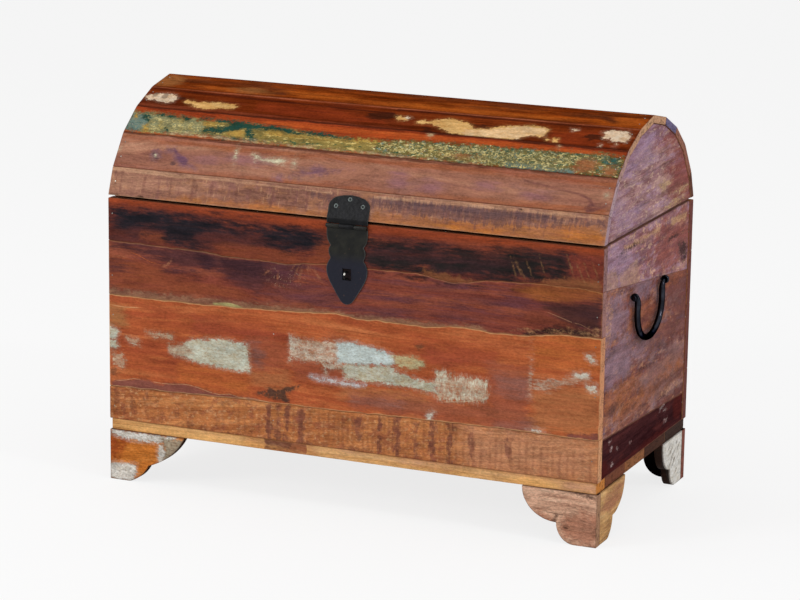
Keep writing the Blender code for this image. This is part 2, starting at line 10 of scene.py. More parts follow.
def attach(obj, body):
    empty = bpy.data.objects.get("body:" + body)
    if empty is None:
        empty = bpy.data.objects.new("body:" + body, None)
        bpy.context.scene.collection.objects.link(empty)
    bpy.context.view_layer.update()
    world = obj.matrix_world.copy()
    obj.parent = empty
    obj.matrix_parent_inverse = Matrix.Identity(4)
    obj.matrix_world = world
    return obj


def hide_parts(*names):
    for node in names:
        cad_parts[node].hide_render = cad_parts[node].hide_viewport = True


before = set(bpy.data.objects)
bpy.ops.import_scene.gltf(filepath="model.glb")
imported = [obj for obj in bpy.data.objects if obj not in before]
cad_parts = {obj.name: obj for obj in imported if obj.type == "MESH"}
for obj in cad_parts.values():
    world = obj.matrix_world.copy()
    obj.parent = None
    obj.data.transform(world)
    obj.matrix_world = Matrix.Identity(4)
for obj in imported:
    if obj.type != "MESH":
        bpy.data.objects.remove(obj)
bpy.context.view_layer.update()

mm = 0.001
up = np.array([0.0, 0.0, 1.0])


def tone(*screen):  # a screen colour of 0 to 255, as the linear colour that a shader takes
    shares = [value / 255 for value in screen]
    return (*[s / 12.92 if s < 0.0404 else ((s + 0.055) / 1.055) ** 2.4 for s in shares], 1.0)


# Noise for shapes: each corner of a unit cell has a hashed value, and 3t2 - 2t3 blends the eight

def cellNoise(points, seed):
    cell = np.floor(points).astype(np.int64)
    part = points - cell
    part = part * part * (3 - 2 * part)
    total = np.zeros(len(points))
    for corner in itertools.product((0, 1), repeat=3):
        key = (cell + np.array(corner)) @ np.array([73856093, 19349663, 83492791]) + seed * 2654435761
        key = (key ^ (key >> 13)) * 1274126177 & 0x7FFFFFFF
        value = ((key ^ (key >> 16)) & 0xFFFF) / 65535
        weight = np.prod(np.where(np.array(corner) == 1, part, 1 - part), axis=1)
        total += weight * value
    return total


def layeredNoise(points, seed, octaves=3):  # halved and doubled octaves, from -1 to 1
    total, reach, size = 0, 0, 1.0
    for octave in range(octaves):
        total = total + size * (cellNoise(points * 2 ** octave, seed + octave) * 2 - 1)
        reach += size
        size *= 0.5
    return total / reach


# Shapes drawn on a face, in metres: above zero inside, below zero outside

def polygonDepth(places, corners):  # distance to the nearest side, with its sign from the crossings above
    corners = np.reshape(corners, (-1, 2)) * mm
    nearest = np.full(len(places), 1e9)
    inside = np.zeros(len(places), bool)
    for start, end in zip(corners, np.roll(corners, -1, axis=0)):
        side = end - start
        share = np.clip(((places - start) @ side) / max(side @ side, 1e-12), 0, 1)
        nearest = np.minimum(nearest, np.linalg.norm(places - start - share[:, None] * side, axis=1))
        spans = (start[1] > places[:, 1]) != (end[1] > places[:, 1])
        rise = np.where(abs(side[1]) < 1e-12, 1e-12, side[1])
        inside ^= spans & (places[:, 0] < start[0] + (places[:, 1] - start[1]) / rise * side[0])
    return np.where(inside, nearest, -nearest)


def ovalDepth(places, oval):  # (1 - distance in radii) times the short radius, turned by its angle
    x, z, reach, rise, turn = (*oval, 0)[:5]
    angle = math.radians(turn)
    away = places - np.array([x, z]) * mm
    along = (away[:, 0] * math.cos(angle) + away[:, 1] * math.sin(angle)) / (reach * mm)
    across = (away[:, 1] * math.cos(angle) - away[:, 0] * math.sin(angle)) / (rise * mm)
    return (1 - np.hypot(along, across)) * min(reach, rise) * mm


def drawnDepth(places, layer):  # the union of a layer's ovals, outlines and upright bars, less its gaps
    depth = np.full(len(places), -1.0)
    for oval in layer.get("ovals", ()):
        depth = np.maximum(depth, ovalDepth(places, oval))
    bars = [(x - half, low, x + half, low, x + half, high, x - half, high)
            for x, low, high, half in layer.get("bars", ())]
    for outline in (*layer.get("outlines", ()), *bars):
        depth = np.maximum(depth, polygonDepth(places, outline))
    for outline in layer.get("gaps", ()):
        depth = np.minimum(depth, -polygonDepth(places, outline))
    return depth


# Shader maths

class Wire:  # a socket that Python sums can be written on
    def __init__(self, look, socket):
        self.look = look
        self.socket = socket

    def sum(self, operation, first, second):
        return self.look.node("Math", {"operation": operation}, {0: first, 1: second})

    def __add__(self, other):
        return self.sum("ADD", self, other)

    def __radd__(self, other):
        return self.sum("ADD", other, self)

    def __sub__(self, other):
        return self.sum("SUBTRACT", self, other)

    def __rsub__(self, other):
        return self.sum("SUBTRACT", other, self)

    def __mul__(self, other):
        return self.sum("MULTIPLY", self, other)

    def __rmul__(self, other):
        return self.sum("MULTIPLY", other, self)

    def __abs__(self):
        return self.look.node("Math", {"operation": "ABSOLUTE"}, {0: self})

    def larger(self, other):
        return self.sum("MAXIMUM", self, other)


class Look:  # the nodes of one material or world, which all come from node()
    def __init__(self, owner):
        owner.use_nodes = True
        self.owner = owner
        self.tree = owner.node_tree
        self.tree.nodes.clear()
        self.kept = {}

    def node(self, kind, settings, sockets, output=0):
        made = self.tree.nodes.new("ShaderNode" + kind)
        for key, value in settings.items():
            setattr(made, key, value)
        for key, value in sockets.items():
            if isinstance(value, Wire):
                self.tree.links.new(value.socket, made.inputs[key])
            else:
                made.inputs[key].default_value = value
        return None if output is None else Wire(self, made.outputs[output])

    def keep(self, key, make):  # the same wire again wherever the same one is asked for
        if key not in self.kept:
            self.kept[key] = make()
        return self.kept[key]

    def value(self, name, output="Fac"):  # what the mesh carries, as a number or as a "Vector"
        return self.keep((name, output), lambda: self.node(
            "Attribute", {"attribute_name": name}, {}, output))

    def part(self, vector, axis):
        return self.node("SeparateXYZ", {}, {"Vector": vector}, axis)

    def scaled(self, vector, factors):
        return self.node("VectorMath", {"operation": "MULTIPLY"}, {0: vector, 1: factors})

    def moved(self, vector, x=0.0, y=0.0):
        offset = self.node("CombineXYZ", {}, {"X": x, "Y": y})
        return self.node("VectorMath", {"operation": "ADD"}, {0: vector, 1: offset})

    def noise(self, vector, scale, detail=2.0, roughness=0.5):  # spread out to run from about 0 to 1
        factors = (*scale, scale[-1])[:3]  # per metre along the grain, and across it both ways
        key = ("noise", vector.socket, factors, detail, roughness)
        return self.keep(key, lambda: self.fade(self.node(
            "TexNoise", {}, {"Vector": self.scaled(vector, factors), "Scale": 1.0,
                             "Detail": detail, "Roughness": roughness}), 0.26, 0.74, "LINEAR"))

    def fade(self, value, low, high, form="SMOOTHSTEP"):
        return self.node("MapRange", {"interpolation_type": form}, {
            "Value": value, "From Min": low, "From Max": high})

    def mix(self, first, second, share, blend="MIX"):
        sockets = {0: share, 6: first, 7: second}
        return self.node("Mix", {"data_type": "RGBA", "blend_type": blend}, sockets, 2)

    def dimmed(self, colour, share):
        return self.node("VectorMath", {"operation": "SCALE"}, {0: colour, "Scale": share})

    def ramp(self, value, colours):  # three colours, at 0, a half and 1
        made = self.node("ValToRGB", {}, {"Fac": value}, "Color")
        stops = made.socket.node.color_ramp.elements
        stops.new(0.5)
        for stop, colour in zip(stops, colours):
            stop.color = colour
        return made

    def bump(self, height, distance, strength=1.0):
        return self.node("Bump", {}, {"Strength": strength, "Distance": distance, "Height": height})

    def seen(self):  # 1 for the rays that show a thing to the camera: direct, mirrored or through glass
        camera, mirrored, through = (self.node("LightPath", {}, {}, f"Is {kind} Ray")
                                     for kind in ("Camera", "Glossy", "Transmission"))
        return camera.larger(mirrored).larger(through)

    def finish(self, colour, roughness, **more):
        more = {key.replace("_", " "): value for key, value in more.items()}
        shader = self.node("BsdfPrincipled", {}, {"Base Color": colour, "Roughness": roughness, **more})
        self.node("OutputMaterial", {}, {"Surface": shader}, None)
        return self.owner


# Old sawn wood. A broad drift bends the streaks, and fine fibres and thin threads darken them. Then each
# layer of stain, paint or marks lies over them where its drawn depth, roughened by noise, is above zero.

woodDefaults = {
    "streaks": (3.0, 150.0),     # per metre, along and across the grain
    "sway": 0.022,               # how far the drift bends the streaks, in metres
    "slant": 0.0,                # how far the grain climbs, per metre of board
    "contrast": 1.25,
    "grime": 1.0,                # how far small noise darkens and lightens everything
    "fibre": 0.4,
    "threads": 0.4,
    "rough": 0.5,
    "gloss": 0.02,
    "relief": 0.00035,
    "endTone": (150, 100, 70),
    "rawTone": None,             # of the inner face and the cut edges, or a paler middle tone
    "edgeTone": (70, 38, 26),
    "edgeWear": 0.5,
    "flush": (), "knots": (), "layers": (), "lines": (),
}

woodWear = {  # what all boards share, in metres where it is a length
    "thread": (112, 84, 76), "dirt": (50, 34, 30), "fresh": (166, 120, 80),
    "deeper": 0.62,              # the darker tone of a cut, as a share of its lighter one
    "wash": (-0.007, 0.003),     # the thin wash round paint fades in between these depths
    "lineEnd": 0.012,            # a scratch fades at each end over this length
    "rimRagged": 0.0016,
    "rim": (0.0022, 0.0002),     # the worn rim fades in between these distances from an edge
}

# A layer's edge is its softness and the roughness of its outline, in millimetres.
layerDefaults = {
    "stain": {"edge": (6, 13), "mottle": (14, 70), "cover": 0.85, "holes": 0.0, "speck": 0.2,
              "thin": 0.0, "lift": 0.0, "shade": (12, 160), "veil": 0.0},
    "paint": {"edge": (2.4, 8), "mottle": (110, 170), "cover": 1.0, "holes": 0.3, "speck": 0.25,
              "thin": 0.6, "lift": 0.7, "shade": (70, 120), "veil": 0.4},
    "mark": {"edge": (1.4, 3), "mottle": (100, 120), "cover": 0.8, "holes": 0.2, "speck": 0.25,
             "thin": 0.1, "lift": -0.5, "shade": (40, 120), "veil": 0.0},
}


def layerOf(kind, first, second, **wanted):
    return {**layerDefaults[kind], "kind": kind, "tones": (first, second), **wanted}


stain, paint, mark = (partial(layerOf, kind) for kind in ("stain", "paint", "mark"))


def layerMask(look, number, layer, place, bent, streak):
    along, across = layer["mottle"]
    soft, ragged = (share * mm for share in layer["edge"])
    coarse = look.noise(place, layer["mottle"], 5.0, 0.66)
    fine = look.noise(bent if layer["kind"] == "stain" else place, (along * 3.2, across * 2.4), 3.0, 0.7)
    rough = (coarse - 0.5) * ragged + (fine - 0.5) * (ragged * 0.6)
    edge = look.value(f"layer{number}") + rough
    mask = look.fade(edge, -soft, soft)
    if layer["veil"]:
        mask = mask.larger(look.fade(edge, *woodWear["wash"]) * layer["veil"])
    if layer["holes"]:
        worn = coarse * 0.5 + fine * 0.5
        kept = look.fade(worn, layer["holes"] - layer["speck"], layer["holes"] + layer["speck"])
        mask = mask * (kept * (1 - layer["thin"]) + layer["thin"])
    if layer["kind"] == "stain":  # the grain shows through it
        mask = mask * look.fade(streak, -0.7, 0.5, "LINEAR")
    return mask * layer["cover"] * (1 - look.value("cap"))


def woodLook(name, wood):
    look = Look(bpy.data.materials.new(name))
    place = look.value("place", "Vector")
    grain = look.value("grain", "Vector")
    cap = look.value("cap")
    drift = look.noise(grain, (1.7, 11.0), 2.0) - 0.5
    bent = look.moved(grain, y=drift * wood["sway"])
    along, across = wood["streaks"]
    streak = look.noise(bent, wood["streaks"], 6.0, 0.7)
    band = look.noise(bent, (along * 0.5, across * 0.2), 3.0, 0.55)
    cloud = look.noise(grain, (8.0, 26.0), 4.0, 0.6)
    fibre = look.noise(bent, (40.0, 900.0), 4.0, 0.7)
    thread = look.noise(bent, (7.0, 380.0), 4.0, 0.62)
    blend = streak * 0.46 + band * 0.32 + cloud * 0.22
    spread = 0.27 / wood["contrast"]
    dark, middle, light = (tone(*c) for c in wood["tones"])
    colour = look.ramp(look.fade(blend, 0.5 - spread, 0.5 + spread, "LINEAR"), (dark, middle, light))
    for number, (flush, scale, low, high) in enumerate(wood["flush"], start=1):
        patch = look.noise(look.moved(bent, x=3.7 * number), scale, 5.0, 0.62)
        colour = look.mix(colour, tone(*flush), look.fade(patch, low, high) * 0.7)
    colour = look.mix(colour, dark, look.fade(fibre, 0.5, 0.1) * wood["fibre"])
    colour = look.mix(colour, light, look.fade(fibre, 0.55, 0.95) * (wood["fibre"] * 0.45))
    threaded = look.fade(thread, 0.30, 0.12) * wood["threads"]
    colour = look.mix(colour, tone(*woodWear["thread"]), threaded, "MULTIPLY")
    height = fibre * 0.35 + streak * 0.65
    roughness = 0.14 * streak + (wood["rough"] - 0.07)

    for number, layer in enumerate(wood["layers"]):
        mask = layerMask(look, number, layer, place, bent, streak)
        first, second = (tone(*c) for c in layer["tones"])
        shade = look.noise(bent, layer["shade"], 5.0, 0.7)
        painted = look.mix(first, second, look.fade(shade, 0.2, 0.8, "LINEAR"))
        if "flecks" in layer:
            fleck = look.noise(place, (210.0, 330.0), 4.0, 0.78)
            painted = look.mix(painted, tone(*layer["flecks"]), look.fade(fleck, 0.5, 0.85) * 0.6)
        for order, (speck, scale, low, high) in enumerate(layer.get("specks", ()), start=1):
            spots = look.noise(look.moved(place, x=0.77 * order), scale, 4.0, 0.68)
            painted = look.mix(painted, tone(*speck), look.fade(spots, low, high))
        if layer["kind"] == "stain":
            painted = look.mix(painted, tone(*woodWear["dirt"]), look.fade(fibre, 0.45, 0.05) * 0.35)
        colour = look.mix(colour, painted, mask)
        height = height + mask * layer["lift"]
        if layer["kind"] == "paint":
            roughness = roughness + mask * 0.12

    for number, line in enumerate(wood["lines"]):  # thin scratches, broken by noise and fading at both ends
        half, breaks, fading = line["half"] * mm, line.get("breaks", 0.2), woodWear["lineEnd"]
        first, last = line["points"][0] * mm, line["points"][-2] * mm
        x = look.part(place, "X")
        span = look.fade(x, first, first + fading) * look.fade(x, last, last - fading)
        mask = look.fade(abs(look.value(f"line{number}")), half, half * 0.35) * span
        mask = mask * look.fade(look.noise(place, (70.0, 70.0), 3.0), breaks, breaks + 0.2)
        colour = look.mix(colour, tone(*line["tone"]), mask * line.get("cover", 0.8) * (1 - cap))
        height = height - mask * 0.8

    grit = look.noise(place, (200.0, 400.0), 3.0, 0.7)
    patchy = look.noise(grain, (28.0, 80.0), 5.0, 0.7)
    colour = look.dimmed(colour, 1 + ((grit - 0.5) * 0.55 + (patchy - 0.5) * 0.6) * wood["grime"])
    worn = look.noise(place, (60.0, 60.0), 3.0)
    margin = look.value("margin") + (worn - 0.5) * woodWear["rimRagged"]
    rim = look.fade(margin, *woodWear["rim"]) * wood["edgeWear"]
    colour = look.mix(colour, tone(*wood["edgeTone"]), rim)

    def cut(tones, share):
        return look.mix(tone(*tones), tone(*[c * woodWear["deeper"] for c in tones]), share)

    inner = look.fade(look.value("face"), 0.97, 0.85)
    raw = wood["rawTone"] or [0.5 * c + 0.5 * m for c, m in zip(woodWear["fresh"], wood["tones"][1])]
    colour = look.mix(colour, cut(raw, look.fade(streak, 0.3, 0.9)), inner * 0.92)
    speckle = look.noise(grain, (60.0, 420.0), 3.0)
    ring = look.noise(grain, (8.0, 90.0, 240.0), 2.0)
    colour = look.mix(colour, cut(wood["endTone"], look.fade(speckle * 0.5 + ring * 0.5, 0.4, 0.85)), cap)
    roughness = roughness + 0.2 * inner.larger(cap)
    normal = look.bump(height, wood["relief"] * 1.6)
    return look.finish(colour, roughness, Normal=normal, Specular_IOR_Level=wood["gloss"])


# Meshes

def madeObject(name, points, faces, material, attributes=None, sharp=50):
    mesh = bpy.data.meshes.new(name)
    mesh.from_pydata(points, [], faces)
    for key, values in (attributes or {}).items():
        kind, field = ("FLOAT", "value") if values.ndim == 1 else ("FLOAT_VECTOR", "vector")
        carried = mesh.attributes.new(key, kind, "POINT")
        carried.data.foreach_set(field, values.astype(np.float32).ravel())
    mesh.materials.append(material)
    mesh.validate()
    mesh.shade_smooth()
    mesh.set_sharp_from_angle(angle=math.radians(sharp))
    made = bpy.data.objects.new(name, mesh)
    bpy.context.collection.objects.link(made)
    return made


def stand(made, node, body):  # in the place of its CAD node
    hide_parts(node)
    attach(made, body)


def loopFaces(stations, around, capped=True, closed=False):  # quads between loops, and a face on each end
    rows = np.arange(stations - (0 if closed else 1))
    row, column = np.meshgrid(rows, np.arange(around), indexing="ij")
    nextRow, nextColumn = (row + 1) % stations, (column + 1) % around
    faces = np.stack([row * around + column, row * around + nextColumn,
                      nextRow * around + nextColumn, nextRow * around + column], -1).reshape(-1, 4).tolist()
    if capped:
        faces.append(list(range(around))[::-1])
        faces.append(list(range((stations - 1) * around, stations * around)))
    return faces


def outwardFaces(points, faces):  # turned round where the volume, summed over each face's fan, is below zero
    volume = 0.0
    for size in sorted({len(face) for face in faces}):
        same = points[np.array([face for face in faces if len(face) == size])]
        for i in range(1, size - 1):
            volume += np.einsum("ij,ij->", same[:, 0], np.cross(same[:, i], same[:, i + 1]))
    return faces if volume > 0 else [face[::-1] for face in faces]


boardShape = {
    "ease": 0.9,       # radius of the rounded edges, in millimetres
    "wear": 0.55,      # how far noise varies it
    "chips": 1.6,      # how much more it varies where the noise is above chipFrom
    "chipFrom": 0.45,
    "hollow": 0.35,    # depth of the outer face's unevenness, in millimetres
    "ripple": 0.0013,  # of the waved seams, in metres
    "far": 0.04,       # how far from a drawn edge its distance is still told, in metres
}


def slab(node, shape, wood, seed, body, slot, step=3.0, across=3.0, inner=9.0):
    # A board. Its four long edges are lines of a share from 0 to 1, and at each station a loop with rounded
    # corners goes round them: two corners by the outer face, two by the inner one. The loops shrink at the
    # ends. A loop's rows below are: high, deep, from the edge, from the face, share of the width, plain.
    edges, length, axes, origin = shape
    ease, far = boardShape["ease"] * mm, boardShape["far"]
    turn = np.radians([0, 30, 60, 90])
    rise, reach = 1 - np.sin(turn), 1 - np.cos(turn)
    middle = np.linspace(ease, length - ease, max(4, int(length / (step * mm))))[1:-1]
    run = np.concatenate([ease * reach, middle, length - ease * reach[::-1]])
    shrink = np.concatenate([ease * rise, 0 * middle, ease * rise[::-1]])[:, None]
    lowOut, highOut, highIn, lowIn = edges(run / length)
    wide = np.linalg.norm(highOut - lowOut, axis=1)[:, None]
    thick = np.linalg.norm(lowIn - lowOut, axis=1)[:, None]
    front = np.linspace(0, 1, max(3, int(wide.max() / (across * mm))) + 1)[1:-1]
    back = np.linspace(1, 0, max(2, int(wide.max() / (inner * mm))) + 1)[1:-1]
    loop = [(0, 0, reach, rise, 0, 0), (0, 0, 1, 0, front, 1), (1, 0, reach[::-1], rise[::-1], 0, 0),
            (1, 1, reach, rise, 0, 0), (0, 1, 1, 0, back, 1), (0, 1, reach[::-1], rise[::-1], 0, 0)]
    high, deep, fromEdge, fromFace, share, plain = np.concatenate(
        [np.stack(np.broadcast_arrays(*part)) for part in loop], axis=1)

    spots = np.stack(np.broadcast_arrays(run[:, None] * 90, high * 7.0, deep * 5.0), -1)
    worn = layeredNoise(spots.reshape(-1, 3), seed, 4).reshape(spots.shape[:2])
    chips = boardShape["chips"] * np.clip(worn - boardShape["chipFrom"], 0, 1)
    corner = ease * (1 + boardShape["wear"] * worn + chips)
    corner = np.minimum(corner, np.minimum(wide, thick) * 0.45)
    s = np.where(plain > 0, corner + share * (wide - 2 * corner),
                 np.where(high > 0, wide - fromEdge * corner, fromEdge * corner))
    d = np.where(deep > 0, thick - fromFace * corner, fromFace * corner)
    s = (shrink + s * np.maximum(wide - 2 * shrink, 0.1 * wide) / wide) / wide
    d = (shrink + d * (thick - 2 * shrink) / thick) / thick

    def at(s, d):
        s, d = s[..., None], d[..., None]
        outer = lowOut[:, None] * (1 - s) + highOut[:, None] * s
        return outer * (1 - d) + (lowIn[:, None] * (1 - s) + highIn[:, None] * s) * d

    flat = at(s, d)
    places = (np.stack([flat @ axis for axis in axes], -1) - np.array(origin)).reshape(-1, 3)
    relief = layeredNoise(places * (9, 38, 38), seed + 9, 4).reshape(s.shape)
    hollow = np.clip(0.5 + 0.5 * relief, 0, 1) * boardShape["hollow"] * mm
    outside = deep == 0
    points = at(s, d + np.where(outside & (fromFace < 0.5), hollow / thick, 0)).reshape(-1, 3)

    toEnd = np.minimum(run, length - run)[:, None]
    margin = np.where(fromFace > 0.3, 0, np.minimum(np.minimum(s, 1 - s) * wide, toEnd))
    cap = np.clip(1 - toEnd / ease * 1.5, 0, 1) + 0 * s
    shown = np.broadcast_to(outside, s.shape).ravel()
    wood = {**woodDefaults, **wood}
    grain = places + np.array([seed * 0.731, 0, seed * 0.117])
    grain[:, 1] -= wood["slant"] * places[:, 0]
    for x, z, radius in wood["knots"]:  # the grain parts round a knot
        away = (places[:, :2] - np.array([x, z]) * mm) / (radius * mm)
        push = np.exp(-(away[:, 0] / 2.6) ** 2) * np.exp(-np.abs(away[:, 1]) / 2.4) * np.sign(away[:, 1])
        grain[:, 1] -= push * radius * mm * 0.85
    carried = {"place": places, "grain": grain, "margin": margin.ravel(), "cap": cap.ravel(),
               "face": shown.astype(float)}
    for number, layer in enumerate(wood["layers"]):
        depth = np.full(len(places), -far)
        depth[shown] = np.clip(drawnDepth(places[shown, :2], layer), -far, far)
        carried[f"layer{number}"] = depth
    for number, line in enumerate(wood["lines"]):
        x, z = np.reshape(line["points"], (-1, 2)).T * mm
        away = places[:, 1] - np.interp(places[:, 0], x, z)
        carried[f"line{number}"] = np.where(shown, np.clip(away, -far, far), far)
    faces = outwardFaces(points, loopFaces(len(run), len(high)))
    made = madeObject(f"{node}_wood", points, faces, woodLook(node, wood), carried)
    stand(made, node, body)


# A board's four long edges, read from its CAD node: the outermost and innermost points at each of its ends

def nodeAxes(outward):  # along, across and out of a face
    outward = np.array(outward, float)
    along = np.cross(up, outward)
    if np.linalg.norm(along) < 0.01:
        along = np.array([1.0, 0.0, 0.0])
    along /= np.linalg.norm(along)
    return along, np.cross(outward, along), outward


def nodePoints(node, axes):
    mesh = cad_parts[node].data
    points = np.zeros(len(mesh.vertices) * 3)
    mesh.vertices.foreach_get("co", points)
    points = points.reshape(-1, 3)
    return np.stack([points @ axis for axis in axes], -1)


# Corners come by end, by outer or inner, and by low or high.
def nodeCorners(node, axes, ease=0.0008, nearFace=0.0003, nearEnd=0.0025):
    places = nodePoints(node, axes)
    corners = []
    for end in (places[:, 0].min(), places[:, 0].max()):
        for depth in (places[:, 2].max(), places[:, 2].min()):
            here = places[(abs(places[:, 2] - depth) < nearFace) & (abs(places[:, 0] - end) < nearEnd)]
            for reach in (here[:, 1].min() - ease, here[:, 1].max() + ease):
                corners.append(end * axes[0] + reach * axes[1] + depth * axes[2])
    return np.array(corners).reshape(2, 2, 2, 3)


def board(node, outward, wood, seed, slot, body="carcass", waves=(None, None), fromEdge=False, **sizes):
    # The waves bend the low and the high edge, as flat lists of places along and heights, in millimetres.
    axes = nodeAxes(outward)
    corners = nodeCorners(node, axes)

    def line(shares, depth, side):
        start, end = corners[:, depth, side]
        points = start + shares[:, None] * (end - start)
        if waves[side]:
            x, z = np.reshape(waves[side], (-1, 2)).T * mm
            reach = shares * np.linalg.norm(end - start)
            spots = np.stack([reach * 55, 0 * reach, 0 * reach + len(x)], -1)
            ripple = layeredNoise(spots, 7, 3) * boardShape["ripple"]
            points = points + (np.interp(reach, x, z) + ripple)[:, None] * axes[1]
        return points

    def edges(shares):
        return line(shares, 0, 0), line(shares, 0, 1), line(shares, 1, 1), line(shares, 1, 0)

    start, end = corners[:, 0, 0]
    origin = [start @ axes[0], start @ axes[1] if fromEdge else 0.0, start @ axes[2]]
    slab(node, (edges, np.linalg.norm(end - start), axes, origin), wood, seed, body, slot, **sizes)


def fourEdges(axes, low, high, depths):  # the low and high lines on the outer face, then on the inner one
    lines = [x[:, None] * axes[0] + z[:, None] * axes[1] for x, z in (low, high, high, low)]
    return [line + depth * axes[2] for line, depth in zip(lines, np.repeat(depths, 2))]


# Front boards. Places are millimetres from the left end and above the floor.

topSeamWave = (0, -1.5, 92, -2, 167, -3, 194, -6, 261, -6.5, 300, -8, 330, -3, 370, -1, 519, -0.5, 540, -4,
               567, -7.5, 590, -5, 611, -1, 656, 2.5, 689, 4, 760, 5, 800, 1)
middleSeamWave = (0, -4, 60, -5.5, 100, -6.5, 167, -7.5, 240, -8, 320, -5, 385, -3.5, 417, -9.5, 445, -7.5,
                  481, -10.5, 528, -11, 583, -7, 611, -8.5, 628, -11.5, 689, -11.5, 717, -7.5, 750, -4.5,
                  800, -7)
lowSeamWave = (0, 1.5, 240, 1, 400, -1, 640, -1.5, 700, -4, 800, -6)

frontBoards = {
    "front_board_1": {
        "tones": ((73, 35, 30), (104, 50, 40), (130, 65, 44)), "streaks": (2.6, 130),
        "endTone": (150, 112, 110), "edgeTone": (140, 78, 48), "edgeWear": 0.25,
        "flush": [((81, 44, 42), (7, 60), 0.5, 0.85), ((126, 63, 40), (30, 160), 0.62, 0.9)],
    },
    "front_board_2": {
        "tones": ((87, 44, 43), (123, 61, 48), (139, 76, 55)), "streaks": (2, 120), "sway": 0.05,
        "endTone": (164, 120, 114), "edgeTone": (186, 138, 92), "edgeWear": 0.3, "knots": ((322, 345, 24),),
        "flush": [((99, 55, 61), (5, 80), 0.55, 0.85), ((134, 66, 43), (20, 90), 0.6, 0.9)],
    },
    "front_board_3": {
        "tones": ((142, 67, 42), (167, 86, 50), (184, 108, 66)), "streaks": (2.4, 90), "fibre": 0.25,
        "endTone": (214, 150, 110), "edgeTone": (206, 164, 116), "edgeWear": 0.6,
        "knots": ((285, 168, 14),), "flush": [((150, 71, 45), (6, 50), 0.5, 0.85),
        ((182, 104, 61), (12, 70), 0.6, 0.9)],
    },
    "front_board_4": {
        "tones": ((148, 85, 51), (180, 113, 67), (201, 137, 85)), "streaks": (9, 170), "fibre": 0.35,
        "relief": 0.0006, "rough": 0.6, "slant": 0.12, "endTone": (224, 166, 124), "edgeTone": (96, 58, 40),
        "edgeWear": 0.45, "flush": [((190, 134, 92), (70, 110), 0.5, 0.85),
        ((146, 84, 60), (60, 60), 0.5, 0.8), ((196, 150, 106), (150, 190), 0.62, 0.85)], "grime": 1.2,
    },
}
frontBoards["front_board_1"]["layers"] = [
    stain((156, 70, 38), (130, 58, 34), edge=(5, 10), outlines=[(-2, 446, 800, 446, 800, 437, 361, 429,
        -2, 435)]),
    stain((66, 40, 42), (81, 46, 42), edge=(12, 28), outlines=[(3, 425, 92, 430, 250, 422, 358, 420,
        369, 411, 358, 402, 306, 393, 194, 388, 156, 378, 3, 380)]),
    stain((119, 61, 44), (134, 69, 42), cover=0.75, outlines=[(56, 400, 92, 398, 100, 390, 92, 382,
        53, 384), (347, 411, 417, 425, 417, 372, 328, 376, 344, 391), (178, 390, 278, 391, 328, 384,
        300, 371, 194, 376)]),
    stain((29, 31, 37), (42, 36, 42), edge=(12, 28), cover=0.96, outlines=[(11, 423, 33, 428, 92, 431,
        250, 422, 306, 425, 344, 423, 356, 417, 346, 407, 328, 400, 292, 397, 258, 409, 228, 413, 167, 412,
        144, 391, 122, 386, 103, 389, 96, 402, 83, 405, 28, 397, 12, 405)]),
    stain((18, 21, 26), (27, 27, 32), edge=(12, 28), ovals=[(328, 417, 22, 6.7), (128, 394, 22, 6.1),
        (178, 421, 67, 3.3), (294, 405, 25, 4.4), (56, 419, 42, 7.2)]),
    stain((60, 40, 43), (47, 35, 38), edge=(12, 28), cover=0.95, outlines=[(428, 418, 472, 425, 583, 423,
        708, 433, 747, 430, 756, 416, 753, 398, 742, 394, 722, 393, 713, 403, 703, 402, 697, 392, 661, 383,
        583, 378, 544, 382, 525, 387, 522, 381, 428, 378)]),
    stain((25, 27, 27), (37, 33, 32), edge=(12, 28), cover=0.93, ovals=[(472, 415, 44, 7.2),
        (600, 412, 36, 6.7), (664, 421, 28, 10), (694, 408, 28, 14), (734, 406, 16, 13),
        (481, 391, 36, 8.9), (567, 400, 39, 4.4), (647, 394, 25, 8.3)]),
    paint((128, 60, 46), (92, 44, 40), cover=0.85, mottle=(110, 60), holes=0.42, thin=0.2, lift=0.0,
        outlines=[(746, 430, 800, 432, 800, 394, 757, 394, 747, 408)]),
    stain((136, 88, 56), (118, 71, 46), edge=(5, 13), mottle=(60, 70), outlines=[(694, 378, 712, 388,
        740, 395, 797, 397, 797, 380, 750, 377), (522, 385, 601, 377, 600, 371, 556, 370, 522, 377)]),
    mark((150, 112, 74), (120, 84, 58), cover=0.6, ovals=[(663, 402, 9.4, 0.8, -72),
        (669, 405, 8.3, 0.8, -66), (674, 396, 8.3, 0.8, -70), (679, 392, 6.1, 0.8, -60),
        (688, 402, 8.3, 0.8, -66), (750, 413, 10, 0.8, -70), (764, 408, 11.1, 0.8, -64),
        (776, 405, 9.4, 0.8, -70), (789, 408, 9.4, 0.8, -66), (706, 411, 7.2, 0.8, -72)]),
]
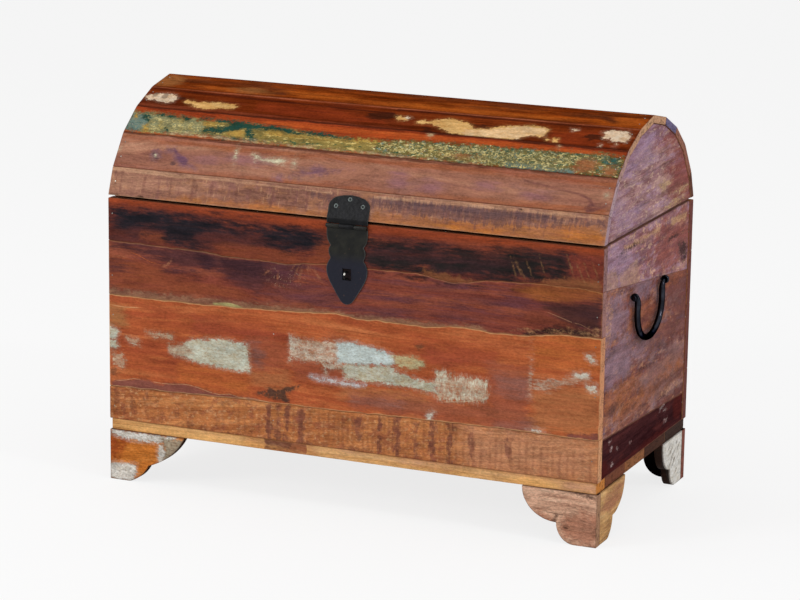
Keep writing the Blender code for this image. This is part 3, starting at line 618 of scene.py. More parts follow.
frontBoards["front_board_2"]["layers"] = [
    stain((138, 74, 47), (123, 61, 43), outlines=[(0, 350, 56, 352, 117, 333, 222, 325, 244, 311, 111, 305,
        0, 311), (358, 377, 417, 388, 417, 327, 375, 352)]),
    stain((66, 40, 44), (82, 48, 48), edge=(8, 20), cover=0.93, mottle=(10, 110), outlines=[(6, 377,
        167, 376, 308, 371, 317, 377, 339, 378, 322, 363, 311, 344, 295, 336, 267, 333, 253, 320, 178, 349,
        119, 346, 33, 365, 6, 368)], ovals=[(17, 337, 19, 7.2)]),
    stain((50, 32, 38), (62, 38, 43), edge=(8, 20), mottle=(10, 110), outlines=[(189, 371, 267, 369,
        267, 352, 250, 347, 222, 348, 194, 358), (92, 342, 117, 336, 156, 332, 156, 334)],
        ovals=[(167, 361, 14, 11.1)]),
    stain((106, 59, 57), (118, 65, 53), edge=(8, 20), mottle=(10, 110), ovals=[(328, 327, 67, 17),
        (511, 339, 78, 4.4), (472, 317, 64, 4.4), (572, 323, 33, 2.8), (639, 347, 36, 5.6),
        (544, 361, 56, 2.8)]),
    stain((87, 51, 61), (101, 57, 59), edge=(8, 20), cover=0.75, mottle=(10, 110),
        ovals=[(500, 341, 72, 1.9), (583, 337, 33, 1.7), (481, 315, 50, 1.9), (667, 350, 28, 8.3),
        (289, 361, 19, 8.3), (358, 322, 25, 2.2), (544, 369, 44, 1.4)]),
    stain((148, 86, 45), (128, 70, 41), outlines=[(717, 390, 800, 388, 800, 370, 717, 360, 689, 363,
        661, 371)]),
    stain((77, 46, 41), (55, 36, 39), edge=(8, 20), cover=0.92, mottle=(10, 110), outlines=[(708, 357,
        800, 370, 800, 317, 758, 321, 733, 332, 711, 346)]),
    stain((101, 51, 39), (116, 59, 41), edge=(8, 20), mottle=(10, 110), outlines=[(683, 338, 717, 344,
        758, 324, 686, 318)]),
    stain((22, 21, 24), (42, 32, 32), edge=(3, 8), mottle=(26, 90), outlines=[(681, 308, 717, 321, 742, 325,
        800, 318, 800, 315, 728, 312, 683, 305)], ovals=[(508, 374, 33, 1.4), (561, 370, 30, 1)]),
    paint((204, 172, 140), (170, 124, 98), cover=0.85, mottle=(210, 150), holes=0.7, speck=0.1, thin=0,
        outlines=[(261, 351, 267, 362, 281, 362, 294, 353, 319, 363, 329, 361, 329, 348, 303, 335,
        286, 337)]),
    mark((158, 104, 76), (128, 76, 58), ovals=[(314, 371, 7.2, 0.8, 50), (320, 368, 8.3, 0.8, 66),
        (327, 371, 8.3, 0.8, 84), (333, 371, 8.3, 0.8, -70), (339, 368, 8.9, 0.8, -58),
        (346, 365, 9.4, 0.8, -50), (352, 361, 10, 0.8, -56), (322, 355, 6.1, 1.1, 80),
        (286, 347, 7.2, 1.1, 86), (269, 356, 5.6, 1.1, 40), (103, 352, 7.2, 1.9, 50),
        (97, 348, 5.6, 1.7, 20)]),
    mark((36, 26, 26), (24, 20, 22), cover=1, holes=0.0, bars=[(400, 346, 386, 12)]),
    paint((146, 110, 84), (114, 78, 62), cover=0.8, mottle=(60, 150), holes=0.25, thin=0.4, lift=0.3,
        outlines=[(-1, 303, 394, 307, 417, 302, 417, 297, 306, 297, 222, 293, 111, 293, -1, 287), (389, 304,
        442, 308, 544, 307, 600, 311, 625, 307, 625, 303, 442, 297, 389, 300)]),
    stain((178, 172, 114), (146, 138, 92), edge=(1.2, 3), cover=0.95, outlines=[(178, 299, 211, 302,
        232, 296, 192, 293, 181, 295)]),
    paint((198, 152, 108), (160, 110, 74), cover=0.6, mottle=(50, 90), holes=0.5, thin=0, veil=0.0,
        ovals=[(722, 316, 34, 2.2, 6), (772, 319, 22, 3), (790, 324, 10, 3)]),
]
frontBoards["front_board_2"]["lines"] = [
    {"points": (711, 345, 739, 337, 763, 330), "half": 0.8, "tone": (176, 128, 98), "cover": 0.55},
    {"points": (743, 334, 767, 331, 789, 322), "half": 0.6, "tone": (176, 128, 98), "cover": 0.55},
    {"points": (4, 353, 19, 355, 37, 354), "half": 0.7, "tone": (176, 112, 78)},
    {"points": (33, 365, 53, 359, 72, 351, 92, 348), "half": 0.9, "tone": (170, 90, 52)},
]
frontBoards["front_board_3"]["layers"] = [
    stain((163, 117, 70), (142, 99, 66), edge=(9, 20), cover=0.7, outlines=[(-1, 280, 25, 275, 31, 250,
        -1, 244)]),
    stain((150, 71, 48), (142, 65, 48), edge=(9, 20), cover=0.75, outlines=[(144, 272, 306, 266, 308, 255,
        239, 250, 144, 250), (511, 277, 639, 275, 639, 255, 561, 244, 528, 252)]),
    stain((146, 82, 57), (137, 73, 55), edge=(9, 20), cover=0.68, mottle=(30, 50), outlines=[(239, 252,
        307, 252, 308, 205, 240, 205), (308, 233, 417, 226, 417, 194, 319, 197, 308, 213), (344, 266,
        417, 266, 417, 259, 344, 261)]),
    stain((112, 80, 76), (131, 82, 67), edge=(9, 20), outlines=[(240, 241, 251, 240, 264, 233, 262, 205,
        241, 203)]),
    stain((171, 110, 70), (160, 97, 62), edge=(9, 20), outlines=[(241, 203, 300, 205, 311, 194, 303, 177,
        242, 183), (389, 194, 528, 200, 544, 177, 539, 166, 389, 177), (694, 222, 800, 241, 800, 177,
        747, 170, 697, 170)]),
    stain((146, 82, 59), (135, 76, 62), edge=(9, 20), cover=0.68, mottle=(24, 60), outlines=[(406, 186,
        539, 194, 553, 191, 625, 198, 692, 186, 692, 162, 417, 163), (625, 258, 692, 258, 692, 166,
        628, 166)]),
    stain((127, 91, 85), (141, 86, 70), edge=(9, 20), cover=0.75, outlines=[(636, 241, 690, 241, 690, 213,
        639, 213), (639, 173, 694, 176, 697, 165, 639, 163), (406, 180, 489, 180, 489, 170, 406, 170)]),
    stain((182, 104, 53), (169, 86, 48), edge=(9, 20), outlines=[(696, 305, 800, 318, 800, 262, 696, 259),
        (117, 202, 239, 195, 239, 166, 167, 163, 122, 172)]),
    stain((106, 62, 60), (124, 76, 68), edge=(3, 8), mottle=(40, 90), outlines=[(-1, 149, 11, 158, 42, 165,
        92, 163, 139, 166, 189, 157, 206, 160, 278, 155, 278, 147, -1, 141), (753, 166, 800, 170, 800, 161,
        753, 161)]),
    mark((54, 46, 42), (84, 62, 50), edge=(3, 8), cover=0.88, outlines=[(250, 167, 274, 177, 292, 176,
        300, 182, 324, 188, 312, 178, 301, 174, 301, 168, 306, 163, 303, 157, 283, 163)]),
    paint((191, 196, 181), (172, 164, 140), holes=0.2, flecks=(150, 106, 74), outlines=[(104, 218, 122, 224,
        139, 236, 189, 244, 236, 241, 240, 199, 217, 198, 156, 203, 111, 212), (-1, 245, 17, 237, 12, 225,
        -1, 225), (-1, 223, 11, 222, 16, 213, 10, 209, -1, 210)]),
    paint((185, 166, 140), (158, 120, 95), cover=0.9, holes=0.42, thin=0.2, outlines=[(6, 202, 22, 202,
        28, 191, 24, 180, 11, 180, 5, 191), (27, 230, 50, 228, 54, 218, 36, 220), (63, 242, 110, 242,
        110, 234, 67, 235), (103, 226, 128, 228, 144, 222, 144, 215, 122, 211, 106, 212)]),
    paint((202, 194, 176), (164, 126, 99), holes=0.4, thin=0.2, outlines=[(307, 264, 328, 258, 417, 263,
        417, 229, 333, 227, 311, 230, 307, 222), (358, 227, 417, 230, 417, 212, 400, 202, 396, 222,
        369, 220, 367, 202, 364, 219)]),
    paint((193, 205, 203), (176, 185, 179), holes=0.12, flecks=(140, 126, 104), outlines=[(385, 262,
        417, 262, 458, 257, 476, 250, 481, 243, 472, 237, 417, 231, 385, 231)]),
    paint((187, 181, 140), (164, 144, 104), cover=0.92, flecks=(120, 96, 66), outlines=[(472, 250, 506, 253,
        523, 248, 526, 241, 508, 234, 482, 237)]),
    paint((187, 192, 179), (168, 159, 131), flecks=(138, 104, 76), outlines=[(391, 227, 472, 235, 481, 228,
        519, 218, 544, 218, 546, 202, 500, 207, 417, 207, 400, 211)]),
    paint((206, 205, 183), (168, 131, 104), edge=(2.4, 10), mottle=(230, 80), holes=0.42, thin=0.2,
        outlines=[(543, 235, 556, 238, 569, 233, 625, 232, 627, 211, 621, 199, 556, 193, 546, 197)]),
    paint((210, 220, 226), (183, 179, 174), cover=0.8, outlines=[(341, 205, 430, 201, 417, 197, 347, 200)],
        ovals=[(361, 201, 3.9, 2.5)]),
    paint((195, 183, 163), (166, 129, 104), cover=0.85, mottle=(40, 150), holes=0.5, thin=0.2,
        outlines=[(697, 241, 736, 245, 761, 257, 781, 260, 783, 252, 722, 228, 697, 227)],
        ovals=[(692, 236, 9.4, 2.2, 88), (693, 252, 9.4, 1.4, 90)]),
    paint((208, 205, 192), (176, 164, 145), cover=0.9, outlines=[(776, 286, 786, 288, 792, 277, 783, 278),
        (761, 258, 781, 260, 781, 252, 761, 252), (778, 242, 794, 244, 795, 234, 781, 235)],
        ovals=[(704, 165, 6.7, 2.5), (536, 166, 6.1, 3.3, 60)]),
    mark((84, 58, 44), (120, 74, 50), edge=(3, 8), cover=0.75, ovals=[(518, 270, 6, 3.4), (8, 172, 8, 5)]),
]
frontBoards["front_board_3"]["lines"] = [
    {"points": (6, 152, 11, 158, 28, 161, 42, 165, 64, 164, 92, 163, 111, 164, 125, 166, 139, 166, 156, 163,
        172, 159, 189, 157, 206, 160, 222, 157, 244, 158, 278, 155), "half": 0.8, "tone": (190, 140, 104),
        "breaks": 0.2},
    {"points": (0, 277, 28, 276, 56, 278), "half": 1.3, "tone": (196, 142, 98)},
    {"points": (553, 190, 583, 194, 618, 200), "half": 0.8, "tone": (208, 176, 144)},
    {"points": (31, 221, 42, 220, 53, 218), "half": 1, "tone": (206, 192, 170), "breaks": 0.0},
]
frontBoards["front_board_4"]["layers"] = [
    stain((196, 141, 107), (175, 121, 91), edge=(30, 30), cover=0.75, outlines=[(590, 95, 800, 95, 800, 170,
        590, 170)]),
    stain((126, 76, 63), (108, 64, 58), edge=(3, 13), cover=0.7, mottle=(70, 40), holes=0.3, speck=0.3,
        thin=0.35, bars=[(272, 92, 154, 5), (303, 100, 154, 4), (326, 92, 154, 6), (484, 96, 162, 5),
        (541, 96, 162, 5), (568, 92, 160, 4.5), (455, 96, 158, 2.5), (514, 98, 154, 3),
        (602, 110, 150, 2.5), (660, 118, 148, 4), (288, 92, 154, 3), (420, 110, 150, 4)]),
    stain((95, 54, 49), (115, 66, 52), edge=(3, 13), cover=0.5, mottle=(70, 40), holes=0.3, speck=0.3,
        thin=0.35, bars=[(271, 100, 150, 2), (303, 110, 152, 1.5), (327, 100, 152, 2.5), (484, 100, 158, 2),
        (541, 104, 160, 2), (566, 100, 160, 2), (572, 100, 160, 1), (456, 96, 150, 1)],
        ovals=[(114, 118, 8, 5), (12, 128, 4, 14), (40, 126, 3, 12), (64, 124, 3, 12), (350, 99, 14, 3.5),
        (412, 100, 24, 4), (230, 96, 46, 2), (24, 118, 3, 8), (90, 110, 3, 10), (140, 104, 12, 3)]),
    mark((116, 68, 50), (134, 80, 58), edge=(3, 3), cover=0.5, mottle=(70, 40), holes=0.3, speck=0.3,
        thin=0.35, bars=[(184, 100, 130, 1.3), (195, 104, 146, 1.2), (222, 100, 140, 1.2),
        (232, 98, 130, 1), (244, 98, 140, 1.5), (256, 98, 144, 1), (286, 100, 152, 1.2), (314, 100, 150, 1),
        (340, 104, 150, 1.2), (356, 104, 152, 1.3), (364, 104, 150, 0.9), (372, 100, 150, 1.2),
        (381, 104, 150, 1.3), (388, 104, 150, 0.9), (395, 100, 150, 1.5), (403, 108, 150, 1.2),
        (411, 100, 152, 1.4), (428, 100, 146, 1.2), (436, 104, 150, 0.9), (444, 104, 150, 1),
        (463, 100, 154, 1.1), (470, 100, 156, 1.2), (477, 104, 154, 0.9), (494, 104, 154, 1),
        (500, 104, 154, 1.2), (526, 104, 154, 1.1), (552, 100, 158, 1.2), (560, 104, 154, 0.9),
        (578, 104, 156, 1.2), (590, 100, 150, 1), (598, 100, 150, 1.2), (606, 98, 144, 1.2),
        (618, 104, 142, 1), (632, 104, 142, 1.1), (641, 100, 146, 1.1), (650, 104, 144, 0.9),
        (664, 104, 150, 1.1), (678, 104, 146, 1), (689, 100, 148, 1.4), (700, 104, 140, 1.1),
        (712, 100, 138, 1.1), (722, 102, 140, 0.9), (730, 102, 144, 1.1), (741, 98, 136, 1.1),
        (752, 100, 136, 0.9), (762, 104, 140, 1.1), (776, 104, 136, 1), (788, 100, 134, 1)]),
]

seams = {"front_board_1": (topSeamWave, None), "front_board_2": (middleSeamWave, topSeamWave),
         "front_board_3": (lowSeamWave, middleSeamWave), "front_board_4": (None, lowSeamWave)}
for seed, (node, wood) in enumerate(frontBoards.items(), start=11):
    board(node, (0, -1, 0), wood, seed, "front_boards", waves=seams[node],
          step=1.4 if node == "front_board_4" else 2.4, across=2.6)
print("front boards done")


# Side boards. Places are millimetres from the front end on the right side, and above the floor.

sideBoards = {
    "side_board_1": {
        "tones": ((116, 74, 82), (153, 105, 109), (183, 136, 130)), "streaks": (6, 110), "threads": 0.3,
        "endTone": (150, 96, 76), "edgeTone": (150, 112, 104), "edgeWear": 0.15, "knots": ((352, 371, 12),),
        "flush": [((176, 142, 159), (16, 50), 0.42, 0.7), ((126, 68, 67), (24, 70), 0.5, 0.75),
        ((206, 164, 134), (70, 130), 0.58, 0.75), ((109, 78, 101), (40, 90), 0.62, 0.85)], "grime": 1.3,
        "contrast": 1.5,
    },
    "side_board_2": {
        "tones": ((91, 46, 45), (124, 70, 60), (157, 101, 78)), "streaks": (6, 100), "threads": 0.3,
        "endTone": (150, 96, 70), "edgeTone": (176, 128, 104), "edgeWear": 0.15,
        "flush": [((154, 119, 116), (20, 60), 0.48, 0.75), ((95, 51, 49), (26, 70), 0.5, 0.75),
        ((183, 130, 99), (70, 130), 0.6, 0.78), ((115, 92, 108), (40, 80), 0.62, 0.85)], "grime": 1.4,
        "contrast": 1.7,
    },
    "side_board_3": {
        "tones": ((47, 20, 23), (64, 34, 36), (84, 44, 44)), "streaks": (5, 110), "endTone": (120, 76, 62),
        "edgeTone": (170, 120, 98), "edgeWear": 0.35, "flush": [((88, 44, 42), (20, 80), 0.55, 0.85)],
        "gloss": 0.0,
    },
}
sideBoards["side_board_1"]["layers"] = [
    stain((163, 134, 156), (138, 105, 122), edge=(12, 35), cover=0.7, mottle=(26, 60),
        ovals=[(41, 405, 80, 40), (11, 355, 50, 40)]),
    stain((151, 82, 68), (125, 68, 64), edge=(12, 35), mottle=(26, 60), ovals=[(291, 395, 95, 35),
        (341, 415, 50, 20)]),
    paint((196, 156, 118), (170, 126, 96), cover=0.9, mottle=(40, 180), holes=0.38, outlines=[(71, 429,
        231, 429, 231, 424, 71, 424), (281, 432, 351, 430, 352, 419, 281, 422), (326, 429, 354, 430,
        354, 422, 326, 421)]),
    paint((188, 148, 122), (156, 116, 104), edge=(4, 8), cover=0.85, holes=0.52, outlines=[(-8, 405,
        36, 405, 51, 385, 41, 345, 26, 325, -8, 325), (56, 390, 131, 400, 146, 370, 106, 345, 66, 355)]),
    mark((48, 28, 32), (78, 46, 44), edge=(3, 10), cover=0.9, ovals=[(342, 374, 20, 10, -10),
        (350, 360, 13, 5), (331, 384, 10, 3), (301, 401, 22, 1.5), (106, 424, 30, 2)]),
]
sideBoards["side_board_2"]["layers"] = [
    stain((150, 123, 137), (132, 101, 112), edge=(14, 35), cover=0.8, mottle=(26, 60),
        ovals=[(36, 330, 60, 34), (60, 262, 75, 34), (150, 352, 60, 18), (131, 258, 60, 14)]),
    stain((101, 55, 54), (119, 68, 60), edge=(12, 30), cover=0.8, mottle=(26, 60),
        ovals=[(330, 322, 70, 30), (350, 280, 50, 40), (270, 262, 60, 16), (176, 300, 50, 16)]),
    stain((157, 90, 58), (138, 77, 56), edge=(8, 25), cover=0.7, mottle=(30, 70), ovals=[(101, 348, 20, 5),
        (176, 318, 30, 12), (300, 338, 60, 8), (112, 316, 10, 16), (186, 288, 30, 5)]),
    stain((80, 55, 63), (103, 68, 67), cover=0.7, ovals=[(166, 269, 65, 3.5, -6), (206, 255, 75, 4, -14),
        (261, 240, 60, 3, -20), (81, 280, 45, 2.5)]),
    stain((171, 101, 60), (150, 86, 56), edge=(9, 25), cover=0.8, mottle=(34, 70), ovals=[(71, 208, 74, 18),
        (146, 182, 110, 12), (300, 196, 60, 12)]),
    stain((132, 92, 90), (150, 108, 99), edge=(10, 30), cover=0.7, mottle=(30, 60),
        ovals=[(230, 205, 70, 18), (330, 215, 60, 20), (260, 176, 70, 9)]),
    stain((89, 51, 43), (113, 64, 49), cover=0.75, mottle=(40, 60), ovals=[(41, 195, 20, 8),
        (106, 175, 22, 4), (261, 182, 50, 5), (331, 178, 36, 7)]),
    paint((204, 156, 126), (176, 128, 104), cover=0.7, mottle=(50, 120), holes=0.52, speck=0.14, thin=0.1,
        outlines=[(261, 168, 341, 169, 351, 160, 261, 159), (-8, 360, 36, 355, 20, 300, -8, 285)]),
]
sideBoards["side_board_2"]["lines"] = [
    {"points": (254, 352, 291, 351, 366, 352), "half": 1.2, "tone": (176, 108, 72), "breaks": 0.0},
    {"points": (254, 348, 291, 348, 366, 348), "half": 1, "tone": (84, 40, 34), "breaks": 0.0},
]
sideBoards["side_board_3"]["layers"] = [
    stain((91, 36, 32), (77, 29, 27), edge=(6, 14), cover=0.7, ovals=[(346, 130, 25, 25),
        (131, 102, 150, 4), (11, 110, 15, 15)]),
    paint((206, 186, 180), (160, 124, 124), cover=0.85, holes=0.5, speck=0.12, veil=0.0,
        ovals=[(41, 135, 4, 2), (44, 111, 4, 2), (67, 130, 2.4, 1.2), (126, 124, 2.4, 1.2),
        (268, 142, 7, 2, 20), (282, 134, 5, 2), (286, 117, 5, 2), (271, 152, 4, 1.4), (36, 148, 3, 1.4)]),
]

for side, sign in (("right", 1), ("left", -1)):
    for seed, (name, wood) in enumerate(sideBoards.items(), start=31 if side == "right" else 41):
        if side == "left" and name == "side_board_3":
            wood = {**wood, "tones": wood["tones"][::-1]}
        board(f"{side}_{name}", (sign, 0, 0), wood, seed, "side_boards", step=3.0, across=3.0)
print("side boards done")


# Back boards: plainer, with the same kinds of wear

backBoards = {
    "back_board_1": {"tones": ((100, 52, 38), (134, 72, 48), (158, 92, 60))},
    "back_board_2": {"tones": ((128, 70, 44), (160, 92, 56), (184, 116, 74))},
    "back_board_3": {"tones": ((96, 46, 34), (126, 62, 42), (152, 84, 54))},
    "back_board_4": {"tones": ((140, 84, 56), (168, 108, 74), (190, 134, 92)), "relief": 0.0006},
}
backBoards["back_board_1"]["layers"] = [
    stain((52, 34, 32), (78, 48, 42), edge=(6, 20), ovals=[(160, 412, 110, 12), (470, 402, 140, 10),
        (690, 424, 80, 8)]),
]
backBoards["back_board_2"]["layers"] = [
    paint((132, 148, 138), (158, 160, 140), edge=(2.4, 14), cover=0.9, holes=0.4, flecks=(120, 92, 66),
        outlines=[(430, 340, 470, 350, 520, 341, 560, 352, 610, 346, 648, 330, 610, 318, 560, 322, 520, 306,
        480, 322, 452, 318), (655, 346, 690, 349, 700, 338, 668, 336), (380, 330, 404, 334, 410, 324)]),
    stain((112, 60, 40), (134, 76, 50), edge=(6, 20), ovals=[(160, 330, 130, 9), (300, 300, 160, 6),
        (720, 306, 70, 8)]),
]
backBoards["back_board_3"]["layers"] = [
    stain((170, 104, 66), (150, 84, 54), edge=(6, 20), cover=0.7, ovals=[(200, 236, 120, 18),
        (600, 220, 110, 12)]),
]
backBoards["back_board_4"]["layers"] = [
    mark((104, 64, 52), (86, 54, 48), edge=(3, 3), cover=0.4, mottle=(70, 40), holes=0.35,
        bars=[(90, 100, 150, 4), (104, 98, 146, 1.5), (128, 104, 150, 2), (350, 98, 150, 1.5),
        (360, 100, 150, 5), (372, 104, 150, 1.5), (402, 100, 146, 2.5), (610, 104, 150, 4),
        (624, 100, 150, 1.5), (655, 100, 150, 3)]),
]

for seed, (node, wood) in enumerate(backBoards.items(), start=51):
    board(node, (0, 1, 0), {"endTone": (120, 72, 66), **wood}, seed, "back_boards", step=4.0, across=4.0)
print("back boards done")


# Bottom boards: their ends make the strip of mixed colours along the sides

bottomBoards = {
    "bottom_board_1": {
        "tones": ((178, 122, 70), (208, 157, 99), (226, 180, 122)), "endTone": (206, 132, 66),
    },
    "bottom_board_2": {"tones": ((84, 44, 34), (112, 64, 46), (140, 88, 60)), "endTone": (124, 74, 54)},
    "bottom_board_3": {"tones": ((150, 88, 50), (178, 112, 66), (196, 134, 86)), "endTone": (150, 98, 64)},
    # painted shade: the ends of the last two boards are darkened for the shade at the back of the strip
    "bottom_board_4": {"tones": ((104, 60, 42), (134, 82, 56), (160, 104, 72)), "endTone": (78, 50, 40)},
    "bottom_board_5": {"tones": ((160, 110, 72), (190, 140, 96), (208, 162, 118)), "endTone": (66, 48, 42)},
}
bottomBoards["bottom_board_1"]["layers"] = [
    stain((190, 132, 78), (172, 114, 66), edge=(12, 20), cover=0.85, outlines=[(225, 76, 352, 76, 340, 99,
        234, 99)]),
    mark((152, 92, 60), (130, 78, 54), edge=(0.8, 2), holes=0.0, cover=1.0, outlines=[(262, 76, 332, 76,
        332, 99, 262, 99)]),
    mark((86, 54, 44), (112, 68, 50), edge=(1.5, 8), holes=0.0, outlines=[(263, 78, 282, 84, 302, 86,
        312, 99, 263, 99)]),
    stain((206, 156, 126), (184, 130, 102), edge=(15, 20), outlines=[(740, 78, 800, 78, 800, 99, 748, 99)],
        ovals=[(620, 96, 120, 3)]),
    stain((232, 178, 112), (222, 160, 90), edge=(4, 8), cover=0.7, ovals=[(694, 86, 34, 7),
        (150, 84, 110, 5)]),
]

for seed, (node, wood) in enumerate(bottomBoards.items(), start=61):
    outward = (0, -1, 0) if node == "bottom_board_1" else (0, 0, 1)
    wood = {**wood, "rawTone": wood["tones"][1], "edgeTone": wood["tones"][0]}
    board(node, outward, wood, seed, "bottom_boards", step=4.0, across=3.5)
print("bottom boards done")


# Lid slats. Places are millimetres from the left end seen from outside, and up from the slat's lower edge.

lidSlats = {
    "lid_front_rail": {
        "tones": ((118, 79, 67), (146, 102, 85), (172, 126, 102)), "streaks": (12, 130), "fibre": 0.55,
        "relief": 0.0006, "rough": 0.6, "threads": 0.25, "endTone": (176, 146, 156),
        "edgeTone": (196, 156, 122), "edgeWear": 0.3, "flush": [((170, 117, 83), (24, 60), 0.5, 0.85),
        ((129, 86, 81), (90, 24), 0.5, 0.85), ((182, 138, 106), (240, 50), 0.62, 0.9)],
    },
    "lid_slat_1": {
        "tones": ((131, 84, 70), (154, 105, 84), (171, 127, 102)), "streaks": (1.6, 70), "sway": 0.05,
        "contrast": 1.1, "fibre": 0.2, "threads": 0.25, "endTone": (184, 154, 160),
        "edgeTone": (92, 46, 32), "knots": ((67, 24, 9), (310, 30, 24)),
        "flush": [((158, 97, 80), (4, 60), 0.5, 0.85), ((145, 102, 93), (9, 50), 0.55, 0.85)],
    },
    "lid_slat_2": {
        "tones": ((114, 42, 19), (146, 59, 27), (167, 82, 42)), "streaks": (1.8, 160), "contrast": 1.2,
        "threads": 0.6, "endTone": (186, 148, 138), "edgeTone": (60, 28, 20), "gloss": 0.01,
    },
    "lid_slat_3": {
        "tones": ((70, 24, 8), (100, 38, 12), (128, 56, 22)), "streaks": (1.6, 120), "contrast": 1.3,
        "threads": 0.6, "endTone": (200, 154, 124), "edgeTone": (52, 24, 16),
        "flush": [((118, 50, 24), (3, 60), 0.5, 0.85), ((84, 34, 22), (8, 70), 0.55, 0.85)], "gloss": 0.0,
    },
    "lid_slat_4": {
        "tones": ((76, 28, 6), (122, 50, 12), (164, 80, 24)), "streaks": (1.8, 80), "contrast": 1.6,
        "fibre": 0.25, "endTone": (206, 160, 124), "edgeTone": (84, 42, 24),
        "flush": [((150, 73, 24), (4, 40), 0.5, 0.85), ((104, 46, 20), (7, 60), 0.55, 0.85)], "gloss": 0.0,
        "grime": 1.3,
    },
    "lid_slat_5": {"tones": ((92, 44, 24), (128, 66, 34), (154, 88, 50)), "endTone": (204, 156, 122)},
    "lid_slat_6": {"tones": ((80, 38, 24), (112, 54, 32), (138, 76, 46)), "endTone": (118, 108, 140)},
    "lid_slat_7": {"tones": ((104, 60, 42), (138, 86, 58), (162, 110, 76)), "endTone": (158, 108, 90)},
    "lid_slat_8": {"tones": ((116, 68, 50), (146, 90, 66), (170, 114, 84)), "endTone": (156, 104, 88)},
    "lid_back_rail": {
        "tones": ((120, 78, 56), (150, 102, 76), (176, 126, 96)), "relief": 0.0006, "rough": 0.6,
        "fibre": 0.5, "endTone": (110, 72, 60),
    },
}
lidSlats["lid_front_rail"]["layers"] = [
    stain((174, 111, 61), (155, 97, 67), mottle=(40, 60), outlines=[(78, -1.7, 139, 9.4, 222, 8.1, 250, 14,
        306, 5.3, 369, 10.8, 369, -1.7), (436, -1.7, 439, 14, 522, 16, 578, 13, 661, 22, 792, 28,
        794, -1.7)]),
    stain((192, 118, 50), (174, 102, 53), ovals=[(767, 8.1, 31, 6.7), (567, 6.9, 17, 4.4),
        (633, 5.3, 25, 3.3), (267, 2.5, 25, 3.3)]),
    stain((196, 154, 124), (178, 131, 102), edge=(1.2, 3), mottle=(16, 120), outlines=[(0, 44, 369, 38,
        369, 35, 194, 39, 111, 36, 0, 38), (436, 39, 550, 42, 794, 41, 794, 38, 436, 35)]),
    stain((80, 65, 74), (102, 79, 81), mottle=(120, 24), outlines=[(428, 35, 719, 36, 719, 31, 633, 26,
        617, 21, 600, 30, 561, 26, 433, 31)]),
    stain((90, 65, 67), (109, 79, 76), edge=(2, 13), cover=0.75, mottle=(120, 40), holes=0.45,
        outlines=[(428, 33, 794, 34, 794, 30, 689, 16, 611, 14, 436, 22), (328, 34, 369, 34, 369, 23,
        342, 28)]),
    mark((108, 68, 60), (126, 84, 72), cover=0.55, mottle=(60, 60), holes=0.35, bars=[(19, 6, 38, 1.8),
        (10, 10, 34, 1), (58, 8, 36, 2.2), (103, 6, 36, 1.8), (118, 8, 34, 1), (141, 4, 36, 3),
        (146, 10, 32, 1.5), (172, 12, 36, 1.2), (190, 8, 34, 1), (214, 10, 34, 1.4), (236, 6, 32, 1),
        (258, 8, 34, 1.2), (272, 6, 36, 2.5), (298, 8, 34, 1.2), (330, 6, 34, 1.8), (362, 10, 30, 1.2),
        (470, 6, 28, 1.2), (486, 4, 26, 1), (520, 4, 30, 1.2), (538, 6, 28, 1), (556, 8, 30, 1.5),
        (578, 6, 26, 1), (600, 4, 26, 1.2), (628, 4, 26, 1), (660, 6, 30, 1.5), (684, 4, 28, 1),
        (706, 4, 28, 1.2), (744, 6, 28, 1)]),
    mark((40, 26, 24), (66, 42, 34), cover=0.9, ovals=[(56, 1.1, 6.1, 2.2), (6, 1.1, 10, 1.7),
        (666, 40, 2.8, 1.7)]),
]
lidSlats["lid_slat_1"]["layers"] = [
    stain((150, 89, 56), (137, 73, 49), mottle=(6, 90), outlines=[(0, 53, 417, 52, 417, 42, 83, 44, 0, 48),
        (383, 53, 800, 56, 800, 44, 578, 48, 383, 43), (0, 4.4, 139, 3.3, 417, 8.9, 417, -0.6, 0, -0.6),
        (383, 7.2, 467, 2.2, 794, 11.1, 794, -0.6, 383, -0.6)]),
    stain((68, 34, 25), (99, 54, 35), edge=(1.2, 3.5), mottle=(9, 160), holes=0.3, outlines=[(0, 59,
        417, 59, 417, 54, 0, 56), (383, 59, 800, 59, 800, 56, 383, 54)]),
    stain((116, 82, 95), (131, 93, 93), cover=0.92, mottle=(30, 60), outlines=[(81, 41, 94, 39, 106, 30,
        119, 26, 139, 7.2, 111, 13, 83, 32)], ovals=[(66, 26, 7.2, 9.4), (338, 26, 11.1, 7.2),
        (319, 17, 31, 3.3, 14), (294, 10, 14, 1.7)]),
    stain((97, 66, 93), (110, 75, 88), edge=(2, 4), outlines=[(94, 38, 103, 31, 119, 25, 122, 14, 117, 11.1,
        103, 23)], ovals=[(333, 22, 12, 2.5, 12)]),
    stain((137, 93, 97), (145, 99, 93), ovals=[(467, 23, 17, 12), (525, 18, 22, 9.4), (606, 28, 17, 5.6),
        (211, 31, 42, 8.3), (683, 17, 17, 5.6), (156, 26, 22, 8.3)]),
    stain((97, 59, 61), (114, 70, 63), edge=(2.2, 3), outlines=[(657, 44, 753, 29, 767, 23, 772, 16,
        781, 13, 757, 4.4, 768, 17, 761, 23, 747, 28, 661, 39), (764, 7.2, 794, 16, 794, 13, 769, 0.6,
        761, 0)]),
    paint((196, 190, 160), (172, 154, 130), outlines=[(224, 41, 232, 42, 237, 37, 233, 33), (239, 36,
        278, 39, 282, 36, 279, 31, 240, 33)], ovals=[(198, 38, 1.7, 5, 0), (296, 34, 2.2, 3.9, 0),
        (66, 24, 2.2, 2.2), (790, 31, 1.9, 1.9), (1, 29, 1.7, 1.7)]),
    mark((66, 50, 56), (96, 66, 64), ovals=[(99, 14, 3.9, 3.3), (69, 20, 2.8, 1.4), (62, 28, 1.7, 3.9)]),
]
